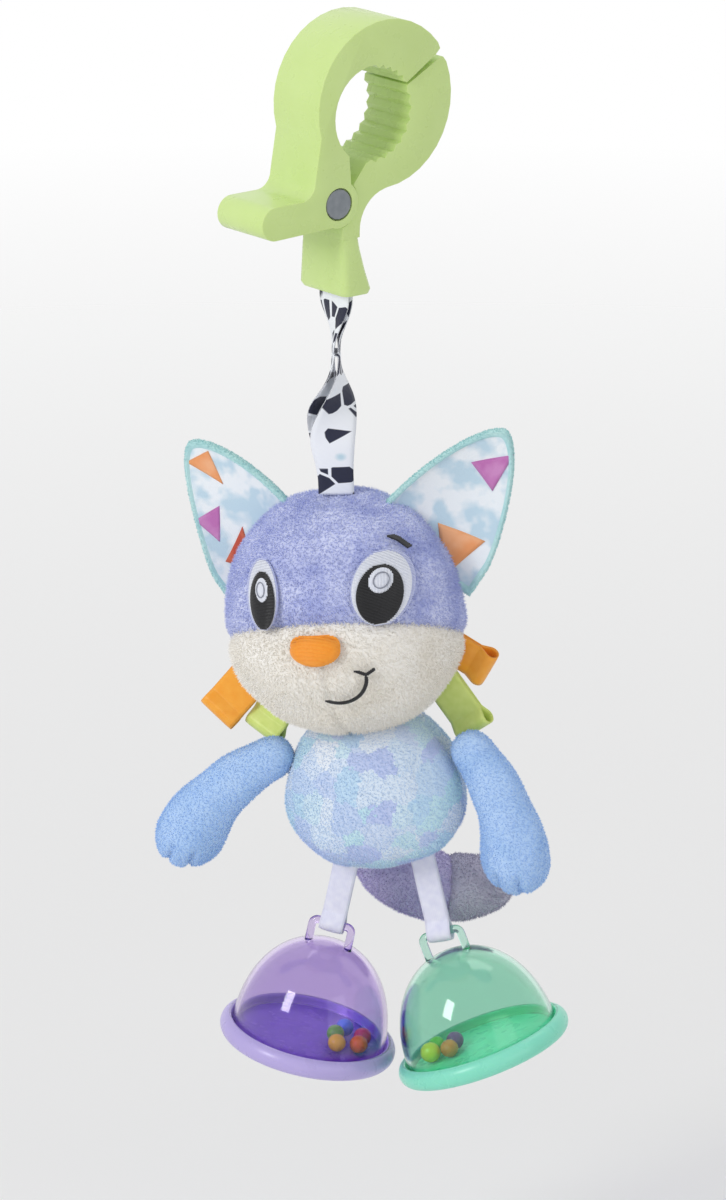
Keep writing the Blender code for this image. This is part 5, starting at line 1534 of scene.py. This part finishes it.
@dataclass
class Ear:
    """One ear: a plush back whose rim rolls forward round a printed cotton lining."""

    head: Head
    side: Side
    base_at: Spot = (0.0272, 0.0070, 0.0208)
    tilt: float = math.radians(37)
    own_shift: Spot = (0.0022, 0.0, 0.0004)
    own_tilt: float = math.radians(2.5)
    turn: float = math.radians(12)
    long: float = 0.0400
    half_width: float = 0.0192
    depth: float = 0.0085
    power: float = 1.25
    round_power: float = 0.62
    foot: float = -0.25
    points: int = 30
    back_rows: tuple[tuple[float, float], ...] = (
        (0.0, 1.0), (0.35, 0.97), (0.65, 0.85), (0.85, 0.6), (0.96, 0.2),
    )
    rim_rows: tuple[tuple[float, float], ...] = (
        (1.0, 0.25), (0.995, 0.75), (0.96, 1.12), (0.92, 1.05), (0.88, 0.7), (0.6, 0.2), (0.0, 0.1),
    )
    lining_shares: tuple[float, ...] = (0.0, 0.12, 0.25, 0.37, 0.5, 0.6, 0.7, 0.77, 0.84, 0.88, 0.91, 0.945)
    print_steps: int = 10
    print_lifts: tuple[float, float] = (-0.22 * MM, 0.25 * MM)
    pile: Pile = Pile(tufts=4.0, long=0.5, wide=0.28, lean=0.8, comb=(0.0, 0.0, 0.1), seed=11)

    def frame(self) -> Matrix:
        """The ear's frame: X across, -Y to the front, Z to the tip."""
        x, y, z = Vector(self.base_at) + Vector(self.own_shift) * self.side.value
        at = self.head.frame @ Vector((self.side.value * x, y, z))
        tilt = self.tilt + self.own_tilt * self.side.value
        return placed(at, (0.0, self.side.value * tilt + self.head.roll, self.side.value * self.turn))

    def outline(self) -> Points:
        """The ear's leaf, as (across, along) points from one foot over the tip to the other."""
        side = []
        for k in range(self.points + 1):
            share = self.foot + (1 - self.foot) * math.sin(math.pi / 2 * k / self.points)
            half = self.half_width * max(1 - max(share, 0.0) ** self.power, 0.0) ** self.round_power
            side.append((half, share * self.long))
        left = [(-across, along) for across, along in side[-2::-1]]
        foot = [(self.half_width * across, self.foot * self.long) for across in np.linspace(-1, 1, 10)[1:-1]]
        return np.array(side[:-1] + [(0.0, self.long)] + left + foot)

    def ring(self, share: float, depth: float) -> Points:
        """The leaf shrunk towards its middle, at a depth, and cupped forward."""
        leaf = self.outline()
        middle = np.array([0.0, self.long * 0.36])
        flat = middle + (leaf - middle) * share
        return self.cupped(flat[:, 0], flat[:, 1], np.full(len(flat), depth))

    def cupped(self, across: Points, along: Points, depth: Points) -> Points:
        """Bends the ear so that its edges come forward."""
        cup = 3.2 * MM if self.side is Side.LEFT else 5.0 * MM
        back = cup * 0.35 - cup * (across / self.half_width) ** 2 * np.clip(1.15 - along / self.long, 0.25, 1)
        return np.stack([across, depth + back, along], axis=-1)

    def build(self) -> None:
        """Builds the plush back, the lining and its print."""
        frame = self.frame()
        front, back = -self.depth * 0.38, self.depth * 0.42
        rows = [(share, back * depth) for share, depth in self.back_rows]
        rows += [(share, front * depth) for share, depth in self.rim_rows]
        rings = np.array([self.ring(*row) for row in rows])
        plush = skin_of(f"{self.side.word}_ear_plush", rings, EAR_PLUSH, frame, False)
        inverse = frame.inverted()

        def share_at(points: Points) -> Points:
            own = moved(points, inverse)
            level = self.cupped(own[:, 0], own[:, 2], np.zeros(len(own)))[:, 1]
            inner = (self.leaf_share(own[:, [0, 2]], 2.0) < 0.955) & (own[:, 1] - level < front * 0.1)
            head_own = self.head.local(points)
            buried = ((head_own / (np.array(self.head.half) * 0.96)) ** 2).sum(axis=1) < 1
            return np.where(inner | buried, 0.0, 1.0)

        self.pile.grow(plush, EAR_PLUSH, share_at)
        dressed(plush, "toy", "mint_plush", f"{self.side.word}_ear_back")
        lining = self.lining(frame, front)
        dressed(lining, "toy", "ear_cloth", f"{self.side.word}_ear_panel")

    def lining(self, frame: Matrix, front: float) -> Piece:
        """The printed lining: a shallow bowl inside the rim, with triangles printed on it."""
        def depth_at(share: Points) -> Points:
            return front * 0.95 + (1 - share**2) * self.depth * 0.22

        rows = [self.ring(share, float(depth_at(np.array(share)))) for share in self.lining_shares]
        rows += [self.ring(0.945, front * 0.6), self.ring(0.0, front * 0.25 + self.depth * 0.30)]
        panel = skin_of(f"{self.side.word}_ear_lining", np.array(rows), EAR_CLOTH, frame, False)
        prints = [panel]
        for k, (corners, finish) in enumerate(self.triangles()):
            grid, faces, rim = triangle_grid(corners, self.print_steps)
            flat, count = grid * MM, len(grid)
            share = self.leaf_share(flat)
            depth = depth_at(share)
            sheets = [self.cupped(flat[:, 0], flat[:, 1], depth + lift) for lift in self.print_lifts]
            faces += [tuple(c + count for c in face[::-1]) for face in faces]
            faces += [(a, a + count, b + count, b) for a, b in zip(rim, rim[1:] + rim[:1])]
            prints.append(solid_from(f"print_{k}", moved(np.concatenate(sheets), frame), faces, finish))
        return joined(f"{self.side.word}_ear_lining", prints)

    def leaf_share(self, flat: Points, most: float = 0.9) -> Points:
        """How far out towards the leaf's edge each point lies, up to a most."""
        middle = np.array([0.0, self.long * 0.36])
        leaf = self.outline() - middle
        angles = np.arctan2(leaf[:, 1], leaf[:, 0])
        order = np.argsort(angles)
        own = flat - middle
        reach = np.linalg.norm(leaf, axis=1)
        edge = np.interp(np.arctan2(own[:, 1], own[:, 0]), angles[order], reach[order], period=math.tau)
        return np.clip(np.linalg.norm(own, axis=1) / edge, 0, most)

    def triangles(self) -> list[tuple[tuple[tuple[float, float], ...], Finish]]:
        """The print: triangles in millimetres, (across, along), with their colours."""
        if self.side is Side.LEFT:
            return [
                (((-3.5, 25.5), (6.0, 35.0), (7.0, 21.5)), EAR_MAGENTA),
                (((-1.4, 3.6), (13.7, 7.2), (9.4, -9.4)), EAR_ORANGE),
            ]
        return [
            (((-4.5, 35.5), (4.0, 34.0), (0.5, 23.0)), EAR_ORANGE),
            (((-13.5, 19.5), (-5.0, 18.5), (-11.5, 9.5)), EAR_MAGENTA),
            (((-13.5, 3.5), (-3.0, 9.0), (-8.0, -5.0)), EAR_RED),
        ]


@dataclass(frozen=True)
class TagPlace:
    """Where a tag leaves the head and where it points, in degrees below level, and how far it reaches."""

    side: Side
    tone: str
    finish: Finish
    spot: float
    aim: float
    reach: float
    twist: float


@dataclass
class Tags:
    """Four satin loops that stand out from the sides of the head."""

    head: Head
    width: float = 0.0130
    root: float = 0.0060
    satin: float = 0.0005
    fold: float = 0.0020
    back: float = 0.0070
    places: tuple[TagPlace, ...] = (
        TagPlace(Side.RIGHT, "orange", ORANGE_SATIN, 31.0, 44.0, 0.0190, 6.0),
        TagPlace(Side.RIGHT, "lime", LIME_SATIN, 48.0, 58.0, 0.0125, 22.0),
        TagPlace(Side.LEFT, "orange", ORANGE_SATIN, 27.0, 36.0, 0.0085, 20.0),
        TagPlace(Side.LEFT, "lime", LIME_SATIN, 45.0, 60.0, 0.0160, 16.0),
    )

    def build(self) -> None:
        """Builds the four loops."""
        for place in self.places:
            spot, aim, side = math.radians(place.spot), math.radians(place.aim), place.side.value
            edge = 1 / math.hypot(math.cos(spot) / self.head.half[0], math.sin(spot) / self.head.half[2])
            root = Vector((side * math.cos(spot) * edge, self.back, -math.sin(spot) * edge))
            out = Vector((side * math.cos(aim), 0.0, -math.sin(aim)))
            turn = (0.0, self.head.roll + side * (math.radians(90) + aim), 0.0)
            frame = placed(self.head.frame @ (root + out * place.reach), turn)
            length = place.reach + self.root - self.fold
            line = refined(hairpin(self.fold, length, self.satin, self.satin), 0.5 * MM)
            ribbon = Ribbon(
                f"{place.side.word}_{place.tone}_loop", line, self.satin, place.finish, frame,
                lambda h: self.width, lambda h, twist=math.radians(place.twist): twist, steps=10,
            )
            piece = dressed(
                ribbon.build(), "toy", f"{place.tone}_satin", f"{place.side.word}_{place.tone}_tag"
            )
            ribbon.length()
            LOG.info("tag: %s, %.0f mm long", piece.name, ribbon.length() / MM)


# Body and limbs.


@dataclass
class Torso:
    """The pear-shaped body, sewn at its sides."""

    at: Spot = (0.0072, 0.0010, -0.2158)
    lean: float = math.radians(-8)
    half: Spot = (0.0288, 0.0225, 0.0268)
    pear: float = 0.10
    sunk: float = 0.0008
    rows: int = 64
    columns: int = 112
    seam_pull: tuple[float, float] = (1.8, 0.9)
    stuffing: Spot = (19.0, 0.40, 2.0)
    pile: Pile = Pile(tufts=3.2, long=0.8, wide=0.30, lean=0.85, comb=(0.0, -0.05, -0.30), seed=7)

    def build(self) -> None:
        """Builds the body with its side seams and its pile."""
        frame = placed(self.at, (0.0, self.lean, 0.0))
        form = StuffedForm(*self.half, shape_at=lambda h: (1 - self.pear * h, np.zeros_like(h)))
        rings = form.rings(self.rows, self.columns, -self.sunk)
        pull = valley(rings[..., 1], *self.seam_pull) - lumps(rings, *self.stuffing)
        rings = pulled_in(rings, np.zeros(3), pull)
        body = skin_of("body_plush", rings, PATCHED, frame, capped=False)
        self.pile.grow(body, PATCHED)
        dressed(body, "toy", "patched_plush", "body_front", "body_back", "body_filling")


@dataclass
class Arm:
    """A stuffed arm with a mitten paw."""

    side: Side
    at: Spot
    droop: float
    forward: float = math.radians(12)
    limb: Limb = Limb((0.0, 0.36, 0.74, 1.0), (0.0072, 0.0087, 0.0116, 0.0116), 0.0480, math.radians(47))
    rows: int = 60
    columns: int = 56
    sunk: float = 0.0006
    seam_pull: tuple[float, float] = (1.4, 0.5)
    crease_pull: tuple[float, float] = (0.9, 1.5)
    creases: tuple[float, float] = (-3.6 * MM, 3.4 * MM)
    stuffing: Spot = (15.0, 0.30, 3.0)

    def build(self) -> None:
        """Builds the arm with its paw's creases and its pile."""
        sign = self.side.value
        frame = placed(self.at, (0.0, sign * self.droop, -sign * self.forward))
        rings = self.creased(self.limb.rings(0.0, 1.0, self.rows, self.columns, -self.sunk, root=True))
        rings[..., 0] *= sign
        word = self.side.word
        arm = skin_of(f"{word}_arm_plush", rings, ARM_PLUSH, frame)
        Pile(3.2, 0.7, 0.28, 0.85, (0.0, 0.0, -0.15), 13 + sign).grow(arm, ARM_PLUSH)
        dressed(arm, f"{word}_arm", "sky_plush", f"{word}_arm_skin", f"{word}_arm_filling")

    def creased(self, rings: Points) -> Points:
        """Pulls in the two stitched creases of the paw, and the side seam."""
        angle = self.limb.bend
        turn_radius = self.limb.length / angle
        end = np.array([turn_radius * math.sin(angle), 0.0, -turn_radius * (1 - math.cos(angle))])
        along = np.array([math.cos(angle), 0.0, -math.sin(angle)])
        across = np.array([math.sin(angle), 0.0, math.cos(angle)])
        off = rings - end
        deep = off @ along
        place = off @ across
        near = np.clip((deep + 9.5 * MM) / (3 * MM), 0, 1)
        pull = valley(rings[..., 1], *self.seam_pull) - lumps(rings, *self.stuffing)
        for crease in self.creases:
            pull = pull + valley(place - crease, *self.crease_pull) * near
        middle = end - along * 11 * MM
        away = np.linalg.norm(rings - middle, axis=-1)
        return pulled_in(rings, middle, pull * np.clip(away / (8 * MM), 0, 1))


@dataclass
class Tail:
    """The stuffed tail, lilac with a paler tip."""

    at: Spot = (-0.0035, 0.0247, -0.2362)
    droop: float = math.radians(74)
    back: float = math.radians(23)
    tip_share: float = 0.633
    limb: Limb = Limb((0.0, 0.40, 0.70, 1.0), (0.0068, 0.0118, 0.0115, 0.0080), 0.0620, math.radians(-104))
    rows: int = 36
    columns: int = 48
    sunk: float = 0.0007
    seam_pull: tuple[float, float] = (1.5, 1.1)
    stuffing: Spot = (14.0, 0.3, 4.0)
    pile: Pile = Pile(tufts=3.0, long=1.0, wide=0.32, lean=0.85, comb=(0.0, 0.0, -0.1), seed=17)

    def build(self) -> None:
        """Builds both lengths with the seam between them."""
        frame = placed(self.at, (0.0, self.droop, self.back))
        sock = ("tail_skin", "tail_filling")
        for name, start, end, finish, slot, nodes in (
            ("tail_plush", 0.0, self.tip_share, TAIL_PLUSH, "lilac_plush", sock),
            ("tail_tip_plush", self.tip_share, 1.0, TIP_PLUSH, "pale_plush", ("tail_tip",)),
        ):
            rings = self.limb.rings(start, end, self.rows, self.columns, -self.sunk, root=start == 0.0)
            pull = -lumps(rings, *self.stuffing)
            seam = self.limb.length / self.limb.bend
            turn = self.limb.bend * self.tip_share
            at = np.array([seam * math.sin(turn), 0.0, -seam * (1 - math.cos(turn))])
            way = np.array([math.cos(turn), 0.0, -math.sin(turn)])
            pull += valley((rings - at) @ way, *self.seam_pull)
            rings = pulled_in(rings, rings.mean(axis=1, keepdims=True), pull)
            piece = skin_of(name, rings, finish, frame)
            self.pile.grow(piece, finish)
            dressed(piece, "tail", slot, *nodes)


# Legs and rattles.


@dataclass
class Leg:
    """A leg's doubled ribbon, from the body's hem down round the rattle's bar."""

    side: Side
    bar_at: Spot
    length: float
    roll: float
    twist: float = 0.0
    width: float = 0.0078
    thick: float = 0.0006
    loose: float = 0.0005
    bar_radius: float = 0.0013
    clearance: float = 0.0008

    def build(self) -> None:
        """Builds the ribbon."""
        frame = placed(self.bar_at, (0.0, math.pi + self.roll, 0.0))
        length = self.length + 1.2 * MM
        line = refined(hairpin(self.bar_radius + self.clearance, length, self.thick, self.loose), 0.6 * MM)
        ribbon = Ribbon(
            f"{self.side.word}_leg_loop", line, self.thick, LEG_SATIN, frame, lambda h: self.width,
            lambda h: self.twist * smooth_share((-h - 5 * MM) / (12 * MM)), cup=0.15 * MM,
        )
        dressed(ribbon.build(), f"{self.side.word}_leg", "leg_ribbon", f"{self.side.word}_leg_ribbon")
        LOG.info("leg: %s ribbon, %.0f mm long", self.side.word, ribbon.length() / MM)


@dataclass
class Rattle:
    """A clear dome with a moulded loop, closed by an opaque rim, with loose beads on its floor."""

    name: str
    bar_at: Spot
    roll: float
    clear: Finish
    opaque: Finish
    floor: Finish
    slots: tuple[str, str]
    beads: tuple[tuple[str, tuple[float, float], float], ...]
    bar_radius: float = 0.0013
    loop_half_width: float = 0.0064
    loop_corner: float = 0.0018
    loop_rise: float = 0.0064
    height: float = 0.0305
    radius: float = 0.0247
    wall: float = 0.0014
    rim_radius: float = 0.0282
    rim_rise: float = 0.0010
    rim_drop: float = 0.0056
    rim_seat: float = 0.0035
    rim_ledge: float = 0.0024
    floor_thick: float = 0.0012
    gap: float = 0.0003
    power: float = 2.15
    dome_steps: int = 112
    rim_steps: int = 128
    bead_steps: int = 36

    def frame(self) -> Matrix:
        """The rattle's frame, at its bar, with the dome below it."""
        return placed(self.bar_at, (0.0, self.roll, 0.0))

    def floor_top(self) -> float:
        """The floor's upper face."""
        return -self.loop_rise - self.height - self.rim_seat + self.gap + self.floor_thick

    def dome_line(self, radius: float, height: float, foot: float) -> Profile:
        """The dome's outline from its foot to its top."""
        points = []
        for k in range(33):
            angle = math.pi / 2 * k / 32
            across = math.cos(angle) ** (2 / self.power) if k < 32 else 0.0
            points.append((radius * across, foot + height * math.sin(angle) ** (2 / self.power)))
        return points

    def build(self, nodes: dict[str, Piece]) -> None:
        """Builds the dome, the rim and the beads, and dresses the floor."""
        frame = self.frame()
        foot = self.floor_top() + self.gap
        outer = self.dome_line(self.radius, -self.loop_rise - foot, foot)
        inner = self.dome_line(self.radius - self.wall, -self.loop_rise - foot - self.wall, foot)
        dome = turned_skin(f"{self.name}_clear_dome", outer + inner[::-1], self.clear, frame, self.dome_steps)
        dome = self.united(dome, self.loop(frame))
        dressed(dome, f"{self.name}_rattle", self.slots[0], f"{self.name}_dome")
        rim = turned_skin(f"{self.name}_rim_ring", self.rim_line(), self.opaque, frame, self.rim_steps)
        dressed(rim, f"{self.name}_rattle", self.slots[1], f"{self.name}_rim")
        with_material(nodes[f"{self.name}_floor"], self.floor)
        for tone, (across, deep), radius in self.beads:
            self.bead(tone, across, deep, radius, frame)

    def loop(self, frame: Matrix) -> Piece:
        """The moulded loop: a round bar bent like a staple."""
        post = -self.loop_rise - self.wall - self.gap
        half, corner = self.loop_half_width, self.loop_corner
        bend = arc_points((-half + corner, -corner), corner, math.pi, math.pi / 2, 6)
        side = [(-half, post), (-half, -corner)] + bend[1:]
        line = side + [(-x, z) for x, z in side[::-1]]
        angles = math.tau * np.arange(20) / 20
        rings = []
        for k, (x, z) in enumerate(line):
            run = run_at(line, k)
            rings.append(np.stack([
                x - run.y * self.bar_radius * np.cos(angles), self.bar_radius * np.sin(angles),
                z + run.x * self.bar_radius * np.cos(angles),
            ], axis=-1))
        return skin_of(f"{self.name}_loop_bar", np.array(rings), self.clear, frame)

    def united(self, target: Piece, other: Piece) -> Piece:
        """Joins two closed solids into one, so that clear plastic has no walls inside it."""
        step = target.modifiers.new("moulded_in_one", "BOOLEAN")
        step.operation, step.solver, step.object = "UNION", "EXACT", other
        mesh = evaluated(target)
        target.modifiers.clear()
        target.data = mesh
        mesh.shade_smooth()
        mesh.set_sharp_from_angle(angle=math.radians(45))
        bpy.data.objects.remove(other, do_unlink=True)
        return target

    def rim_line(self) -> Profile:
        """The rim's closed outline, with a round outer edge."""
        rim = -self.loop_rise - self.height
        seat = self.radius + self.gap
        ledge = self.radius - self.rim_ledge
        middle = rim - (self.rim_drop - self.rim_rise) / 2
        half = (self.rim_drop + self.rim_rise) / 2
        lip = (self.rim_radius - seat) * 0.3
        line = [(seat, rim - self.rim_seat), (ledge, rim - self.rim_seat), (ledge, rim - self.rim_drop)]
        for k in range(17):
            angle = math.radians(-80 + 160 * k / 16)
            across = self.rim_radius - half * 0.85 * (1 - math.cos(angle))
            line.append((across, middle + half * math.sin(angle)))
        line += [(seat + lip, rim + self.rim_rise), (seat + lip * 0.3, rim + self.rim_rise - lip * 0.3)]
        line.append((seat, rim + self.rim_rise - lip))
        return line

    def bead(self, tone: str, across: float, deep: float, radius: float, frame: Matrix) -> None:
        """One bead, with the faint line where its mould parted."""
        at = frame @ Vector((across, deep, self.floor_top() + radius + self.gap))
        line = []
        for k in range(25):
            angle = -math.pi / 2 + math.pi * k / 24
            swell = 1.018 if k == 12 else 1.0
            reach = max(radius * swell * math.cos(angle), 0.0) if 0 < k < 24 else 0.0
            line.append((reach, radius * math.sin(angle)))
        tip = placed(at, (0.7 + across * 90, 0.5 + deep * 120, 0.0))
        bead = turned_skin(f"{self.name}_{tone}_ball", line, BEAD_FINISHES[tone], tip, self.bead_steps)
        dressed(bead, f"{self.name}_beads", f"{tone}_bead_plastic", f"{self.name}_{tone}_bead")


# Studio.


@dataclass(frozen=True)
class Softbox:
    """A rectangular soft lamp that faces the toy."""

    name: str
    at: Spot
    size: tuple[float, float]
    power: float


@dataclass
class Studio:
    """Paper floor, soft lamps and the camera, at the photograph's viewing angle."""

    aim: Spot = (0.0035, 0.0, -0.1560)
    camera_at: Spot = (0.4904, -2.1241, 0.5030)
    view_height: float = 0.372
    sensor: float = 36.0
    paper_half: float = 9.0
    paper_z: float = -0.400
    sky: str = "FBFBFD"
    sky_light: float = 0.62
    lamps: tuple[Softbox, ...] = (
        Softbox("key_softbox", (-1.0, -1.5, 0.75), (0.5, 0.8), 14.0),
        Softbox("fill_softbox", (1.5, -1.1, 0.25), (1.1, 1.1), 3.0),
        Softbox("top_softbox", (0.1, 0.5, 1.3), (0.9, 0.9), 3.5),
    )

    def build(self) -> None:
        """Sets up the whole studio."""
        scene = bpy.context.scene
        scene.view_settings.view_transform = "Standard"
        self.camera(scene)
        self.world(scene)
        for lamp in self.lamps:
            data = bpy.data.lights.new(lamp.name, "AREA")
            data.shape, data.size, data.size_y, data.energy = "RECTANGLE", *lamp.size, lamp.power
            self.face(linked(lamp.name, data), lamp.at)
        self.paper()

    def face(self, made: Piece, at: Spot) -> float:
        """Puts a lamp or a camera at a place, facing the toy, and returns its distance."""
        way = Vector(self.aim) - Vector(at)
        made.location = at
        made.rotation_mode = "QUATERNION"
        made.rotation_quaternion = way.to_track_quat("-Z", "Y")
        return way.length

    def camera(self, scene: bpy.types.Scene) -> None:
        """A long lens at the photograph's distance, so that the perspective is the same."""
        data = bpy.data.cameras.new("camera")
        made = linked("camera", data)
        distance = self.face(made, self.camera_at)
        data.sensor_width = self.sensor
        data.lens = self.sensor * distance / self.view_height
        data.clip_start, data.clip_end = 0.05, 50.0
        scene.camera = made

    def world(self, scene: bpy.types.Scene) -> None:
        """An even pale sky. Lenses, gloss and clear plastic see it white."""
        world = bpy.data.worlds.new("studio")
        scene.world = world
        world.use_nodes = True
        tree = world.node_tree
        sky = tree.nodes["Background"]
        feed(sky, {"Color": colour(self.sky), "Strength": self.sky_light})
        rays = add_node(tree, "ShaderNodeLightPath").outputs
        seen = rays["Is Camera Ray"]
        for kind in ("Is Transmission Ray", "Is Glossy Ray"):
            seen = add_node(tree, "ShaderNodeMath", {0: seen, 1: rays[kind]}, operation="MAXIMUM").outputs[0]
        white = add_node(tree, "ShaderNodeBackground", {"Color": (1, 1, 1, 1), "Strength": 1.0}).outputs[0]
        both = add_node(tree, "ShaderNodeMixShader", {0: seen, 1: sky.outputs[0], 2: white}).outputs[0]
        feed(tree.nodes["World Output"], {"Surface": both})

    def paper(self) -> Piece:
        """A wide flat sheet of paper below the toy."""
        corners = ((-1, -1), (1, -1), (1, 1), (-1, 1))
        mesh = bpy.data.meshes.new("paper")
        points = [(x * self.paper_half, y * self.paper_half, self.paper_z) for x, y in corners]
        mesh.from_pydata(points, [], [(0, 1, 2, 3)])
        mesh.materials.append(PAPER.material())
        mesh.shade_smooth()
        return linked("paper", mesh)


# The whole toy.


def rattles() -> list[Rattle]:
    """Both rattles, with their beads' places on the floor."""
    small, big = 0.0028, 0.0032
    return [
        Rattle(
            "purple", (-0.0065, 0.001, -0.2632), math.radians(12),
            VIOLET_CLEAR, LILAC_PLASTIC, VIOLET_PLASTIC,
            ("violet_clear_plastic", "lilac_plastic"),
            (
                ("blue", (0.0100, 0.0070), small), ("green", (0.0085, 0.0000), small),
                ("yellow", (0.0105, -0.0070), small), ("orange", (0.0168, -0.0034), small),
                ("red", (0.0166, 0.0036), small),
            ),
        ),
        Rattle(
            "green", (0.0281, 0.001, -0.2637), math.radians(-21),
            GREEN_CLEAR, MINT_PLASTIC, BRIGHT_MINT_PLASTIC,
            ("green_clear_plastic", "mint_plastic"),
            (
                ("yellow", (-0.0160, -0.0036), big), ("green", (-0.0158, 0.0040), small),
                ("orange", (-0.0096, -0.0036), small), ("plum", (-0.0094, 0.0036), small),
            ),
        ),
    ]


def main() -> None:
    """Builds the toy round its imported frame."""
    logging.basicConfig(level=logging.INFO, format="%(name)s: %(message)s")
    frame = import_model()
    nodes = frame["nodes"]
    Studio().build()
    Clip().build(nodes)
    HangingStrap().build()
    head = Head()
    face = Face(head)
    head.bare = face.bare_places()
    head.build()
    face.build()
    for side in Side:
        Ear(head, side).build()
    Tags(head).build()
    Torso().build()
    Arm(Side.RIGHT, (-0.0245, -0.004, -0.2079), math.radians(26)).build()
    Arm(Side.LEFT, (0.0394, -0.004, -0.2015), math.radians(48)).build()
    Tail().build()
    Leg(Side.RIGHT, (-0.0065, 0.001, -0.2632), 0.0212, math.radians(12)).build()
    Leg(Side.LEFT, (0.0281, 0.001, -0.2637), 0.0250, math.radians(-13)).build()
    for rattle in rattles():
        rattle.build(nodes)


if __name__ == "__main__":
    main()
